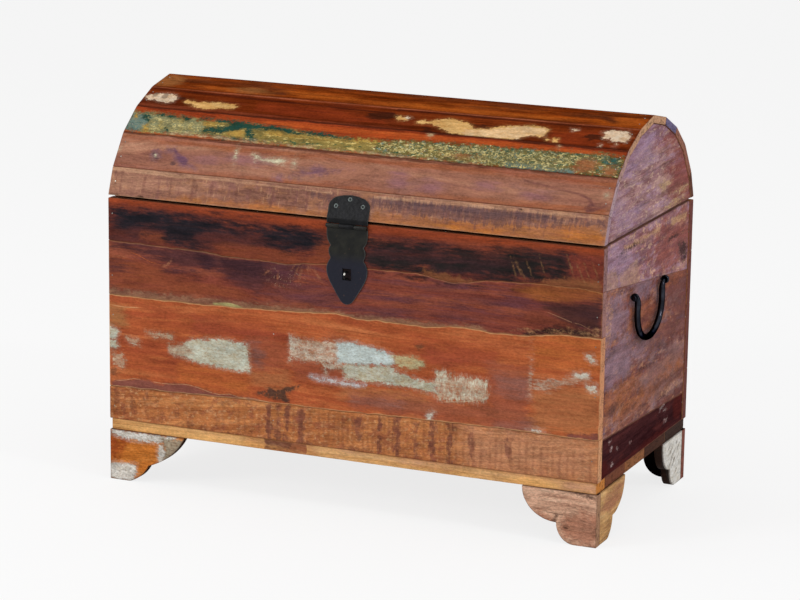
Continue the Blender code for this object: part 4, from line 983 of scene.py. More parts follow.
lidSlats["lid_slat_2"]["layers"] = [
    paint((142, 122, 66), (106, 92, 50), edge=(2.4, 12), holes=0.0, shade=(30, 90),
        specks=[((60, 84, 56), (60, 150), 0.6, 0.72), ((196, 172, 106), (70, 190), 0.6, 0.72)],
        outlines=[(0, 41, 42, 42, 92, 38, 208, 39, 236, 35, 267, 37, 306, 31, 417, 28, 472, 34, 772, 43,
        800, 37, 800, 0.3, 278, 2.5, 111, 8.1, 42, 3.6, 0, 5.8)]),
    paint((116, 102, 54), (96, 88, 50), edge=(2.4, 20), holes=0.0, shade=(40, 90),
        specks=[((44, 78, 60), (100, 170), 0.54, 0.66), ((214, 200, 146), (140, 210), 0.63, 0.72),
        ((134, 78, 44), (60, 110), 0.66, 0.76), ((112, 128, 116), (90, 130), 0.64, 0.76)],
        outlines=[(424, 28, 472, 34, 772, 43, 800, 37, 800, 0.3, 440, 2, 412, 12)]),
    paint((112, 122, 96), (134, 122, 78), edge=(2.4, 12), flecks=(196, 176, 124), outlines=[(0, 41, 36, 42,
        122, 36, 131, 27, 128, 13, 117, 7.5, 44, 3.6, 0, 5.8)]),
    paint((104, 124, 118), (80, 110, 106), edge=(2.4, 12), cover=0.9, flecks=(164, 150, 104),
        outlines=[(0, 38, 17, 39, 31, 30, 33, 13, 19, 3.1, 0, 5.8), (622, 13, 731, 6.9, 731, -0.3,
        622, -0.3)]),
    paint((184, 152, 74), (164, 124, 60), edge=(2.4, 12), holes=0.4, flecks=(120, 96, 50),
        outlines=[(122, 34, 147, 35, 146, 28, 125, 29), (167, 17, 192, 27, 200, 24, 199, 9.2, 178, 9.7),
        (231, 30, 250, 32, 264, 26, 261, 20, 233, 22), (267, 24, 417, 28, 417, 24, 267, 20), (28, 16,
        36, 18, 42, 4.7, 33, 3.6), (6, 39, 9, 40, 11, 30, 7, 29), (86, 36, 100, 36, 97, 32, 88, 32)]),
    paint((62, 100, 84), (44, 80, 78), edge=(2.4, 12), cover=0.92, holes=0.5, speck=0.07, thin=0.1,
        shade=(120, 200), outlines=[(506, 28, 772, 41, 794, 36, 794, 16, 767, 30, 717, 24, 703, 7.5,
        633, 1.9, 578, 10.3)]),
    paint((208, 192, 134), (176, 156, 92), edge=(2.4, 12), holes=0.55, speck=0.07, thin=0.1,
        outlines=[(428, 27, 661, 32, 772, 38, 728, 21, 706, 4.7, 633, 3.1, 428, 13), (42, 35, 122, 32,
        122, 13, 42, 7.5)]),
    paint((32, 70, 62), (40, 66, 50), edge=(2.4, 12), holes=0.16, outlines=[(131, 21, 156, 25, 167, 31,
        172, 38, 119, 38, 119, 41, 194, 41, 217, 38, 244, 39, 278, 32, 333, 34, 342, 29, 372, 28, 372, 25,
        289, 29, 267, 27, 256, 31, 211, 30, 206, 27, 222, 7.5, 222, 1.9, 211, 7.5, 194, 29, 161, 16,
        139, 13, 130, 16), (86, 40, 100, 40, 99, 31, 92, 33), (67, 21, 71, 20, 72, 7.5, 68, 7.5), (19, 38,
        31, 37, 33, 27, 22, 31), (42, 42, 83, 39, 83, 37, 42, 39), (156, 8.6, 194, 8.1, 222, 3.1,
        156, 4.2)]),
    stain((160, 91, 53), (133, 91, 61), cover=0.92, mottle=(90, 140), ovals=[(744, 18, 18, 14, 8),
        (783, 11.9, 11.1, 9.4), (556, 13, 14, 3.3)]),
    stain((57, 25, 15), (86, 34, 19), edge=(1.2, 6), mottle=(9, 160), outlines=[(0, 56, 800, 56, 800, 50,
        0, 52)]),
    stain((180, 86, 38), (162, 68, 28), edge=(1.5, 6), mottle=(8, 160), outlines=[(139, 48, 639, 48,
        794, 44, 794, 41, 556, 40, 417, 35, 139, 45)]),
    paint((192, 170, 130), (150, 112, 84), edge=(2.4, 12), cover=0.9, mottle=(40, 160), holes=0.35,
        outlines=[(72, 5.3, 111, 9.2, 144, 6.4, 156, 8.6, 194, 5.3, 383, 1.9, 389, 4.7, 583, 0.3, 194, 2.5,
        111, 5.8, 72, 3.1)], ovals=[(493, 49, 2.2, 1.9), (694, 51, 1.9, 2.2)]),
]
lidSlats["lid_slat_3"]["layers"] = [
    stain((166, 96, 66), (140, 66, 38), edge=(1.5, 4), mottle=(5, 140), outlines=[(-1, 57, 800, 57, 800, 52,
        139, 51, 56, 54, -1, 52)]),
    stain((54, 20, 12), (78, 30, 16), edge=(1.8, 4), mottle=(5, 140), outlines=[(6, 52, 417, 42, 417, 37,
        6, 48), (417, 52, 794, 52, 694, 47, 417, 48)]),
    stain((128, 62, 38), (112, 50, 32), mottle=(5, 140), outlines=[(-1, 8.9, 444, 1.7, 444, -1.1,
        -1, -1.1)]),
    stain((132, 52, 22), (112, 42, 20), mottle=(6, 110), outlines=[(194, 34, 306, 37, 389, 31, 411, 11.7,
        306, 6.1, 194, 11.7), (669, 28, 744, 39, 750, 14, 783, 8.9, 783, 0.6, 678, 0.6)]),
    stain((44, 22, 14), (66, 32, 20), edge=(2, 13), ovals=[(483, 4.4, 12, 4.4), (64, 27, 7.2, 4.4),
        (394, 28, 17, 6.1), (400, 31, 22, 8.3), (561, 28, 17, 3.3), (736, 26, 12, 5.6)]),
    paint((212, 172, 112), (188, 140, 78), edge=(1.3, 8), holes=0.05, veil=0.2, shade=(40, 90),
        flecks=(176, 118, 66), outlines=[(71, 21, 74, 27, 97, 23, 122, 27, 159, 25, 164, 20, 156, 13,
        136, 12, 119, 7.2, 103, 7.8), (422, 34, 429, 35, 432, 32, 439, 34, 444, 31, 443, 26, 429, 23),
        (458, 25, 467, 29, 475, 27, 506, 40, 538, 33, 554, 19, 575, 23, 594, 33, 619, 36, 633, 41, 664, 36,
        667, 28, 662, 20, 664, 14, 658, 12, 650, 16, 642, 14, 619, -1.1, 539, -1.1, 517, 3.9, 481, 22,
        467, 18, 461, 20), (678, 11.7, 686, 14, 690, 7.2, 685, 1.7, 679, 3.9), (669, 9.4, 677, 10.6,
        677, 5.6, 669, 6.1)], gaps=[(626, 28, 631, 31, 642, 27, 637, 23, 629, 24)]),
    paint((222, 190, 148), (202, 160, 112), edge=(1.3, 8), cover=0.92, mottle=(60, 110), veil=0.2,
        outlines=[(539, 14, 578, 20, 628, 37, 661, 34, 664, 17, 644, 16, 625, 3.3, 550, -0.6, 539, 3.3)]),
    paint((214, 196, 172), (196, 162, 128), edge=(1.3, 8), holes=0.14, veil=0.2, flecks=(150, 120, 96),
        outlines=[(1, 27, 17, 36, 42, 40, 56, 33, 57, 25, 54, 18, 44, 14, 6, 21), (746, 39, 759, 45,
        784, 46, 792, 33, 789, 19, 767, 17, 763, 25, 753, 21, 752, 31), (697, 41, 706, 42, 709, 39,
        700, 36)], ovals=[(776, 10, 1.1, 2.2), (754, 3.9, 1.4, 2.2), (441, 31, 3.3, 2.8)]),
    mark((118, 100, 84), (150, 124, 102), ovals=[(34, 31, 5.6, 7.2), (17, 33, 3.9, 5.6)]),
]
lidSlats["lid_slat_4"]["layers"] = [
    stain((82, 38, 19), (104, 52, 26), edge=(9, 20), mottle=(8, 70), outlines=[(25, 44, 75, 46, 165, 42,
        230, 32, 220, 9.5, 200, 7.5, 190, 22, 130, 36, 60, 24, 30, 22)], ovals=[(705, 34, 35, 8),
        (590, 38, 30, 5), (350, 50, 350, 5), (550, 28, 30, 4)]),
    stain((168, 86, 29), (150, 71, 24), mottle=(8, 60), ovals=[(500, 11.5, 165, 11), (280, 18, 75, 12),
        (115, 14, 35, 9), (770, 22, 25, 15)]),
    stain((140, 92, 51), (150, 96, 53), edge=(9, 20), cover=0.7, ovals=[(15, 28, 25, 25),
        (165, 14, 30, 12)]),
    stain((72, 33, 19), (90, 42, 22), edge=(5, 10), ovals=[(740, 26, 17, 5, -40), (215, 16, 8, 6)]),
]
lidSlats["lid_slat_5"]["layers"] = [
    stain((72, 36, 24), (94, 48, 30), mottle=(8, 70), ovals=[(200, 30, 130, 11), (560, 20, 150, 10)]),
]
lidSlats["lid_slat_6"]["layers"] = [
    paint((204, 166, 116), (178, 134, 88), edge=(2.4, 12), outlines=[(250, 30, 286, 36, 320, 30, 352, 40,
        384, 32, 372, 20, 338, 22, 300, 12, 262, 18), (590, 12, 622, 10, 640, 22, 668, 14, 704, 18, 690, 6,
        610, 4), (404, 30, 420, 33, 424, 26)]),
    stain((66, 32, 22), (88, 44, 28), edge=(6, 20), ovals=[(140, 24, 120, 7), (500, 40, 160, 5),
        (740, 30, 50, 9)]),
]
lidSlats["lid_slat_7"]["layers"] = [
    paint((110, 120, 84), (70, 96, 78), edge=(2.4, 14), holes=0.36, flecks=(176, 156, 90),
        outlines=[(80, 30, 130, 40, 190, 34, 240, 42, 300, 32, 360, 38, 424, 26, 400, 14, 330, 18, 270, 6,
        200, 12, 150, 6, 96, 16), (450, 30, 500, 26, 480, 18, 454, 20), (30, 24, 54, 28, 56, 18)]),
]
lidSlats["lid_slat_8"]["layers"] = [
    stain((106, 78, 86), (120, 86, 86), edge=(6, 16), cover=0.7, ovals=[(320, 26, 120, 14),
        (640, 30, 60, 11)]),
]


def slatOutward(node):  # square to the slat's broad face: the normal of its largest face that looks up
    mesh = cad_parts[node].data
    areas = np.zeros(len(mesh.polygons))
    mesh.polygons.foreach_get("area", areas)
    normals = np.zeros(len(mesh.polygons) * 3)
    mesh.polygons.foreach_get("normal", normals)
    normals = normals.reshape(-1, 3)
    best = normals[np.argmax(areas * (normals[:, 2] > 0.02))]
    return best / np.linalg.norm(best)


slatFrames = {node: slatOutward(node) for node in lidSlats}
for seed, (node, wood) in enumerate(lidSlats.items(), start=71):
    board(node, slatFrames[node], wood, seed, "lid_rails" if "rail" in node else "lid_slats", body="lid",
          fromEdge=True, step=1.6 if node in ("lid_front_rail", "lid_slat_2") else 2.4, across=2.4)
print("lid slats done")


# Lid ends: the low edge is straight, the high one follows the arch under the slats

def archShape(node, outward, ease=0.0006):
    axes = nodeAxes(outward)
    places = nodePoints(node, axes)
    low, depths = places[:, 1].min(), (places[:, 2].max(), places[:, 2].min())
    rim = np.unique(places[abs(places[:, 2] - depths[0]) < 0.0002][:, :2].round(6), axis=0)
    centre = np.array([rim[:, 0].mean(), rim[:, 1].min()])
    arch = rim[np.argsort(-np.arctan2(rim[:, 1] - centre[1] + 1e-4, rim[:, 0] - centre[0]))]
    arch = arch + (arch - centre) / np.linalg.norm(arch - centre, axis=1)[:, None] * ease
    reach = np.concatenate([[0], np.cumsum(np.linalg.norm(np.diff(arch, axis=0), axis=1))])
    left, right = arch[:, 0].min(), arch[:, 0].max()

    def edges(shares):
        x, z = (np.interp(shares * reach[-1], reach, side) for side in arch.T)
        base = left + shares * (right - left), np.full(len(shares), low)
        return fourEdges(axes, base, (x, np.maximum(z, low + 0.002)), depths)

    return edges, reach[-1], axes, (left, 0.0, depths[0])


lidEnds = {
    "tones": ((111, 69, 71), (152, 108, 113), (187, 148, 143)), "streaks": (5, 120), "contrast": 1.3,
    "edgeTone": (80, 50, 48), "endTone": (130, 90, 84),
    "flush": [((169, 137, 160), (14, 60), 0.45, 0.72), ((115, 67, 69), (18, 80), 0.5, 0.72),
              ((208, 173, 153), (60, 170), 0.58, 0.74)],
}
lidEnds["layers"] = [
    stain((157, 131, 160), (152, 116, 134), edge=(14, 35), cover=0.65, ovals=[(130, 560, 90, 26),
        (30, 500, 40, 20), (80, 470, 70, 16)]),
    stain((120, 54, 48), (144, 74, 60), edge=(16, 35), mottle=(14, 40), ovals=[(350, 490, 100, 56),
        (280, 556, 60, 16)]),
    paint((206, 172, 156), (182, 142, 130), edge=(1, 20), cover=0.45, mottle=(36, 150), holes=0.6, thin=0.0,
        ovals=[(150, 500, 130, 34), (200, 545, 90, 20), (60, 475, 50, 18), (200, 465, 170, 8)]),
    paint((204, 172, 128), (176, 138, 102), edge=(2.4, 12), cover=0.8, mottle=(60, 160), holes=0.4,
        thin=0.2, ovals=[(300, 455, 30, 5), (250, 492, 22, 7), (330, 470, 24, 3)]),
    stain((74, 46, 44), (99, 60, 55), edge=(3, 14), cover=0.45, mottle=(9, 150), ovals=[(190, 452, 190, 3),
        (180, 520, 120, 2.5, 1), (260, 480, 100, 2)]),
]

for seed, (side, sign) in enumerate((("right", 1), ("left", -1)), start=91):
    node = f"lid_{side}_end"
    slab(node, archShape(node, (sign, 0, 0)), lidEnds, seed, "lid", "lid_ends")
print("lid ends done")


# Feet: the high edge is straight, the low one goes out from the toe in two round lobes that meet in a notch

footShape = {"toe": 34.0, "notchOut": 62.5, "notchHeight": 31.0, "tip": 0.8, "overlap": 15.0, "flat": 0.0}


def footOutline(node, outward, wanted):
    axes = nodeAxes(outward)
    places = nodePoints(node, axes)
    low, high = places.min(axis=0), places.max(axis=0)
    length, height = (high - low)[:2]
    atStart = places[places[:, 1] < low[1] + 0.0015][:, 0].mean() < (low[0] + high[0]) / 2
    shape = {**footShape, **wanted}
    flat = shape.pop("flat")
    toe, notchOut, notchHeight, tip, overlap = (size * mm for size in shape.values())
    if node.endswith("side"):  # drawn on the corner, of which the long piece hides the first part
        toe, notchOut = (out * length / (length + overlap) for out in (toe, notchOut))
    turn = np.linspace(0, math.pi / 2, 25)
    chord = turn / (math.pi / 2)
    lobeOut = np.sin(turn) + flat * (chord - np.sin(turn))
    lobeUp = 1 - np.cos(turn) + flat * (chord - 1 + np.cos(turn))
    secondOut = notchOut + (length - notchOut) * lobeOut
    secondUp = notchHeight + (height - tip - notchHeight) * lobeUp
    out = np.concatenate([[0.0], toe + (notchOut - toe) * lobeOut, secondOut[1:]])
    rise = np.concatenate([[0.0], notchHeight * lobeUp, secondUp[1:]])
    reach = np.concatenate([[0], np.cumsum(np.hypot(np.diff(out), np.diff(rise)))])

    def edges(shares):
        fromToe = shares if atStart else 1 - shares
        x, z = (np.interp(fromToe * reach[-1], reach, side) for side in (out, rise))
        x, top = (side if atStart else length - side for side in (x, fromToe * length))
        roof = np.full(len(shares), high[1])
        return fourEdges(axes, (low[0] + x, low[1] + z), (low[0] + top, roof), (high[2], low[2]))

    return edges, reach[-1], axes, (low[0], 0.0, high[2])


feet = {
    "front_left_foot_long": {
        "tones": ((150, 84, 36), (190, 112, 46), (208, 136, 70)), "streaks": (24, 200), "fibre": 0.6,
        # its near-black end tone is painted shade
        "relief": 0.0007, "rough": 0.65, "endTone": (24, 16, 15), "grime": 1.3,
        "shape": {"notchOut": 66, "notchHeight": 28, "flat": 0.5},
    },
    "front_left_foot_side": {"tones": ((140, 90, 56), (170, 116, 74), (192, 140, 96))},
    "front_right_foot_long": {
        "tones": ((162, 118, 96), (199, 156, 130), (221, 183, 156)), "streaks": (14, 260), "fibre": 0.55,
        "relief": 0.0006, "rough": 0.65, "endTone": (176, 134, 106), "knots": ((84, 28, 11),), "grime": 1.5,
    },
    "front_right_foot_side": {
        "tones": ((167, 119, 72), (207, 162, 107), (229, 192, 138)), "streaks": (14, 150),
        "endTone": (176, 134, 106),
    },
    # painted shade: this piece is near-black all over, for the shade under the back of the chest
    "back_right_foot_long": {
        "tones": ((16, 10, 10), (24, 15, 14), (36, 24, 20)), "rawTone": (18, 12, 12),
        "endTone": (146, 92, 80), "gloss": 0.0,
    },
    "back_right_foot_side": {
        "tones": ((132, 94, 76), (176, 137, 115), (205, 168, 147)), "endTone": (116, 70, 60),
    },
    "back_left_foot_long": {"tones": ((58, 40, 32), (84, 56, 44), (112, 78, 60))},
    "back_left_foot_side": {"tones": ((134, 88, 58), (166, 114, 76), (190, 140, 98))},
}
feet["front_left_foot_long"]["layers"] = [
    stain((132, 50, 26), (160, 76, 34), edge=(6, 16), cover=0.8, mottle=(60, 60), ovals=[(6, 52, 14, 22),
        (22, 66, 14, 8)]),
    paint((222, 220, 214), (190, 180, 166), holes=0.16, flecks=(120, 98, 78), outlines=[(2, 80, 118, 80,
        100, 70, 60, 66, 30, 67, 4, 72), (0, 26, 44, 27, 46, 18, 40, 0, 0, 0), (84, 62, 92, 66, 98, 52,
        90, 34, 84, 36)]),
    paint((176, 164, 142), (140, 120, 98), holes=0.2, flecks=(110, 88, 68), outlines=[(90, 76, 126, 76,
        124, 58, 100, 34, 92, 38, 97, 54)]),
]
feet["front_right_foot_long"]["layers"] = [
    stain((150, 92, 70), (172, 114, 88), edge=(8, 18), cover=0.75, mottle=(50, 50), ovals=[(96, 26, 34, 24),
        (20, 34, 24, 8)]),
    mark((49, 35, 31), (94, 60, 50), edge=(3, 8), cover=0.85, outlines=[(52, 42, 55, 42, 53, 36, 56, 30,
        48, 30)], ovals=[(70, 27, 3.4, 3.4), (100, 77, 12, 2.5, -10)]),
]
feet["front_right_foot_long"]["lines"] = [
    {"points": (98, 46, 106, 40, 116, 34), "half": 0.8, "tone": (206, 164, 140)},
    {"points": (16, 50, 40, 45, 60, 44, 72, 46), "half": 0.6, "tone": (112, 76, 60)},
]
feet["front_right_foot_side"]["layers"] = [
    stain((163, 105, 77), (184, 126, 95), edge=(6, 14), cover=0.8, mottle=(30, 90), ovals=[(50, 52, 50, 10),
        (70, 66, 36, 6)]),
]
feet["back_right_foot_side"]["layers"] = [
    paint((235, 233, 228), (209, 202, 189), edge=(2.4, 10), mottle=(70, 110), holes=0.2, outlines=[(-5, 85,
        96, 85, 92, -5, -5, -5)]),
    mark((77, 63, 53), (114, 96, 80), cover=0.85, ovals=[
        *((x, z, 7, 1.3, 28) for x, z in ((30, 68), (39, 60), (48, 52), (57, 44), (66, 68), (75, 60))),
        *((x, z, 6, 1.2, 32) for x, z in ((42, 44), (50, 37), (58, 30), (66, 23), (74, 44)))]),
    stain((92, 52, 44), (121, 74, 62), edge=(3, 10), outlines=[(92, 80, 106, 80, 106, 0, 96, 0)]),
]

for seed, (node, wood) in enumerate(feet.items(), start=101):
    side = node.endswith("side")
    sign = -1 if ("left" if side else "front") in node else 1
    shape = footOutline(node, (sign, 0, 0) if side else (0, sign, 0), wood.get("shape", {}))
    # painted shade: the feet's inner faces and cut edges are near-black, for the shade under the chest
    wood = {"edgeTone": (66, 42, 32), "rawTone": (44, 30, 26), **wood}
    slab(node, shape, wood, seed, "carcass", "feet", step=2.0, across=2.6, inner=6.0)
print("feet done")


# Black iron: faint hammer marks, lighter on its rims: partly wear, partly a painted highlight along the
# edges

ironDefaults = {
    # rim and wear: the lighter edge tone and how strongly it shows, partly wear and partly a painted edge
    # highlight
    "rim": (92, 92, 90), "far": None, "rough": 0.42, "dents": 190.0, "shine": 0.4, "wear": 0.4,
    "tint": (255, 255, 255), "rust": (84, 62, 48),
    "farFrom": (0.402, 0.378),  # the heights between which the other tone comes in, in metres
}
ironTones = {
    "black": {"dark": (8, 8, 9), "light": (22, 22, 25), "rim": (70, 70, 70), "metallic": 0.05,
              "shine": 0.12},
    "hasp": {"dark": (13, 13, 10), "light": (30, 29, 23), "far": (20, 21, 34), "metallic": 0.1,
             "shine": 0.2},
    "gloss": {"dark": (34, 35, 41), "light": (56, 58, 66), "rim": (60, 60, 62), "rough": 0.15,
              "metallic": 1.0, "dents": 160.0, "tint": (90, 90, 96)},
    # the staple's near-white rim tone and its strength are a painted glint, not wear
    "staple": {"dark": (12, 12, 13), "light": (30, 30, 32), "rim": (225, 222, 214), "metallic": 0.1,
               "shine": 0.2, "wear": 0.95},
    "steel": {"dark": (110, 106, 100), "light": (176, 170, 160), "rough": 0.38, "metallic": 0.8,
              "dents": 500.0},
}


def ironLook(name, wanted):
    metal = {**ironDefaults, **wanted}
    look = Look(bpy.data.materials.new(f"{name}_iron"))
    place = look.node("TexCoord", {}, {}, "Object")
    dents = {"Vector": look.scaled(place, (metal["dents"],) * 3), "Scale": 1.0}
    dent = look.node("TexVoronoi", {"feature": "F1"}, dents, "Distance")
    broad = look.noise(place, (70.0, 70.0), 3.0)
    fine = look.noise(place, (900.0, 900.0), 3.0)
    rust = look.noise(place, (160.0, 160.0), 4.0, 0.65)
    dark, light = tone(*metal["dark"]), tone(*metal["light"])
    colour = look.mix(dark, light, look.fade(broad * 0.7 + fine * 0.3, 0.3, 0.8))
    if metal["far"]:  # another tone on the lower half
        colour = look.mix(colour, tone(*metal["far"]), look.fade(look.part(place, "Z"), *metal["farFrom"]))
    colour = look.mix(colour, tone(*metal["rust"]), look.fade(rust, 0.82, 0.95) * 0.4)
    # a lighter rim near the outline: on the plates partly wear and partly a painted edge highlight, on the
    # staple a painted glint
    worn = look.fade(look.value("margin") + (broad - 0.5) * 0.0012, 0.0013, 0.0002)
    colour = look.mix(colour, tone(*metal["rim"]), worn * metal["wear"])
    roughness = (metal["rough"] - 0.08) + 0.16 * fine
    normal = look.bump(dent * 0.8 + fine * 0.2, 0.0006, 0.5)
    return look.finish(colour, roughness, Normal=normal, Metallic=metal["metallic"],
                       Specular_IOR_Level=metal["shine"], Specular_Tint=tone(*metal["tint"]))


iron = {name: ironLook(name, wanted) for name, wanted in ironTones.items()}


def ironObject(name, points, faces, material, margin=0.004, sharp=50):  # no rim without a margin
    return madeObject(name, points, faces, material, {"margin": margin + np.zeros(len(points))}, sharp)


def lathe(profile, place, direction, sides=24):  # a closed profile of (along, radius), turned
    direction = np.array(direction, float) / np.linalg.norm(direction)
    side = np.cross(direction, (1.0, 0.0, 0.0) if abs(direction[0]) < 0.9 else (0.0, 0.0, 1.0))
    side /= np.linalg.norm(side)
    other = np.cross(direction, side)
    angle = np.linspace(0, 2 * math.pi, sides, endpoint=False)
    profile = np.array(profile, float) * mm
    circle = np.cos(angle)[:, None] * side + np.sin(angle)[:, None] * other
    points = np.array(place) + profile[:, None, :1] * direction + profile[:, None, 1:] * circle[None]
    return points.reshape(-1, 3), loopFaces(len(profile), sides, capped=False, closed=True)


def rod(line, radii, sides, straight=False):  # rings square to a line of equal x, or to y where straight
    heading = np.where(np.reshape(straight, (-1, 1)), (0.0, 1.0, 0.0), np.gradient(line, axis=0))
    heading /= np.linalg.norm(heading, axis=1)[:, None]
    across = np.array([1.0, 0.0, 0.0])
    other = np.cross(heading, across)
    angle = np.linspace(0, 2 * math.pi, sides, endpoint=False)
    ring = np.cos(angle)[None, :, None] * across + np.sin(angle)[None, :, None] * other[:, None]
    points = (line[:, None] + ring * radii[:, None, None]).reshape(-1, 3)
    return points, outwardFaces(points, loopFaces(len(line), sides))


def joined(pieces):  # several closed shapes as one list of points and faces, each turned outwards
    points, faces, start = [], [], 0
    for shape, corners in pieces:
        faces += [[corner + start for corner in face] for face in outwardFaces(shape, corners)]
        points.append(shape)
        start += len(shape)
    return np.concatenate(points), faces


def smoothOutline(shares, half, height):  # a curve through points, as half widths by the drop
    knots = np.array([(half * x, height * z) for x, z in shares])
    padded = np.vstack([2 * knots[0] - knots[1], knots, 2 * knots[-1] - knots[-2]])
    before, start, end, after = padded[:-3], padded[1:-2], padded[2:-1], padded[3:]
    t = np.linspace(0, 1, 9)[:-1, None, None]
    curve = 0.5 * (2 * start + (end - before) * t + (2 * before - 5 * start + 4 * end - after) * t ** 2
                   + (3 * start - before - 3 * end + after) * t ** 3)
    curve = np.vstack([curve.transpose(1, 0, 2).reshape(-1, 2), knots[-1]])
    drop = np.maximum.accumulate(curve[:, 1] + np.arange(len(curve)) * 1e-9)
    return drop, np.clip(curve[:, 0], 0.35, half)


# Latch and hinges, in millimetres from their axes. Outlines and screws are shares of half a leaf's width and
# of its height. A slot is its width and the drops where it starts and ends. A leaf leans above its fold.

hinge = {
    "leafThick": 1.5, "leafBack": 3.237, "knuckle": 3.3, "bore": 1.6, "gap": 0.3, "relief": 3.6, "sides": 28,
    "ease": 0.35, "lean": math.atan2(0.0152, 0.04142),
}
latchAxis = np.array([0.0, -0.200674, 0.4383])
latchLeaves = {
    "latch_plate": {
        "width": 66, "height": 46.5, "knuckleHalf": 12, "own": "middle", "up": 1, "fold": 10.25, "step": 1.1,
        "body": "lid", "look": "black", "screws": ((0, 0.86), (-0.64, 0.62), (0.66, 0.66)),
        "shares": ((1, 0), (1, 0.62), (0.93, 0.76), (0.80, 0.86), (0.62, 0.93), (0.55, 0.925),
                   (0.36, 0.975), (0, 1)),
    },
    "hasp": {
        "width": 66, "height": 118, "knuckleHalf": 12, "own": "outer", "up": -1, "slot": (14, 63.55, 81.05),
        "step": 1.5, "body": "hasp", "look": "hasp", "screws": (),
        "shares": ((1, 0), (1, 0.09), (0.97, 0.17), (0.88, 0.225), (0.81, 0.257), (0.87, 0.285),
                   (0.90, 0.33), (0.87, 0.375), (0.81, 0.418), (0.90, 0.462), (0.98, 0.515), (1, 0.57),
                   (0.96, 0.635), (0.84, 0.715), (0.66, 0.80), (0.47, 0.885), (0.31, 0.95), (0.17, 0.985),
                   (0, 1)),
    },
}
hingePlaces = {"left": np.array([-0.25, 0.2064, 0.44625]), "right": np.array([0.25, 0.2064, 0.44625])}
hingeLeaf = {
    "width": 60, "knuckleHalf": 10, "step": 1.6, "look": "black", "shares": ((1, 0), (1, 0.80), (0.86, 1)),
    "screws": ((0, 0.42), (-0.62, 0.74), (0.62, 0.74)),
}
hingeLeaves = {
    "hinge_upper_leaf": {**hingeLeaf, "height": 38, "own": "middle", "up": 1, "fold": 2.3, "body": "lid"},
    "hinge_lower_leaf": {**hingeLeaf, "height": 48, "own": "outer", "up": -1, "body": "carcass"},
}


def onLeaf(leaf, x, v, depth=0.0):  # places on a leaf's front at a drop v, and the ways into the wood there
    fold, lean, back = leaf.get("fold", math.inf), hinge["lean"], hinge["leafThick"] - depth
    above, folded = np.maximum(v - fold, 0), np.asarray(v > fold)
    z = np.where(folded, fold + above * math.cos(lean) + back * math.sin(lean), v * leaf["up"])
    y = hinge["leafBack"] + np.where(folded, above * math.sin(lean) - back * math.cos(lean), -back)
    inward = np.where(folded[..., None], (0, math.cos(lean), -math.sin(lean)), (0, 1.0, 0))
    return np.stack([x, y, z], -1), inward


def plate(leaf, seed):
    # A hammered leaf as rows down from its hinge axis. Columns keep to the cuts, so that cells can be left
    # out for the slot and for the other leaf's knuckles.
    half, height, step = leaf["width"] / 2, leaf["height"], leaf["step"]
    middle = leaf["own"] == "middle"
    cut = leaf["knuckleHalf"] + (0.0 if middle else hinge["gap"])
    slotWide, slotStart, slotEnd = leaf.get("slot", (cut, 0.0, 0.0))
    fixed = np.unique([0.0, hinge["relief"], slotStart, slotEnd, height])
    rows = [np.linspace(a, b, max(2, int((b - a) / step) + 1))[:-1] for a, b in zip(fixed, fixed[1:])]
    rows = np.concatenate(rows + [[height]])
    wide = np.interp(rows, *smoothOutline(leaf["shares"], half, height))
    inner, outer = np.minimum(slotWide / 2, wide * 0.3), np.minimum(cut, wide * 0.6)
    lines = [-wide, -outer, -inner, inner, outer, wide]
    columns, zones = [], []
    for zone, (low, high) in enumerate(zip(lines, lines[1:])):
        count = max(2, int(np.max(high - low) / step))
        shares = np.arange(count + (zone == 4)) / count
        columns.append(low[:, None] + shares * (high - low)[:, None])
        zones += [zone] * count
    x, zones = np.concatenate(columns, axis=1), np.array(zones)
    v = rows[:, None] + 0 * x

    spots = np.stack([x / 5.5, v / 5.5, 0 * x], -1).reshape(-1, 3)
    depth = 0.05 + 0.05 * (1 + layeredNoise(spots, seed, 3).reshape(x.shape))
    for across, down in leaf["screws"]:
        away = np.hypot(x - across * half, v - down * height)
        depth = depth + 0.9 * np.clip((4.1 - away) / 2.2, 0, 1)
    front, inward = onLeaf(leaf, x, v, depth)
    back = front + inward * (hinge["leafThick"] - depth)[..., None]

    count = x.shape[1]
    row, column = np.meshgrid(np.arange(len(rows) - 1), np.arange(count - 1), indexing="ij")
    down = ((rows[:-1] + rows[1:]) / 2)[:, None]
    own = (zones > 0) & (zones < 4) if middle else (zones == 0) | (zones == 4)
    inSlot = (down > slotStart) & (down < slotEnd) & (zones == 2)
    first = (row * count + column)[~((down < hinge["relief"]) & ~own) & ~inSlot]
    quads = np.stack([first, first + 1, first + count + 1, first + count], -1)
    sides = np.concatenate([quads[:, [i, (i + 1) % 4]] for i in range(4)])
    unique, index, counts = np.unique(np.sort(sides, axis=1), axis=0, return_index=True, return_counts=True)
    start, end = sides[index[counts == 1]].T
    walls = np.stack([end, start, start + x.size, end + x.size], -1)
    faces = np.concatenate([quads, quads[:, ::-1] + x.size, walls])
    used, packed = np.unique(faces, return_inverse=True)
    points = np.concatenate([front.reshape(-1, 3), back.reshape(-1, 3)])[used] * mm
    margin = np.tile(np.minimum(wide[:, None] - np.abs(x), height - v).ravel(), 2)[used] * mm
    return points, packed.reshape(faces.shape).tolist(), margin


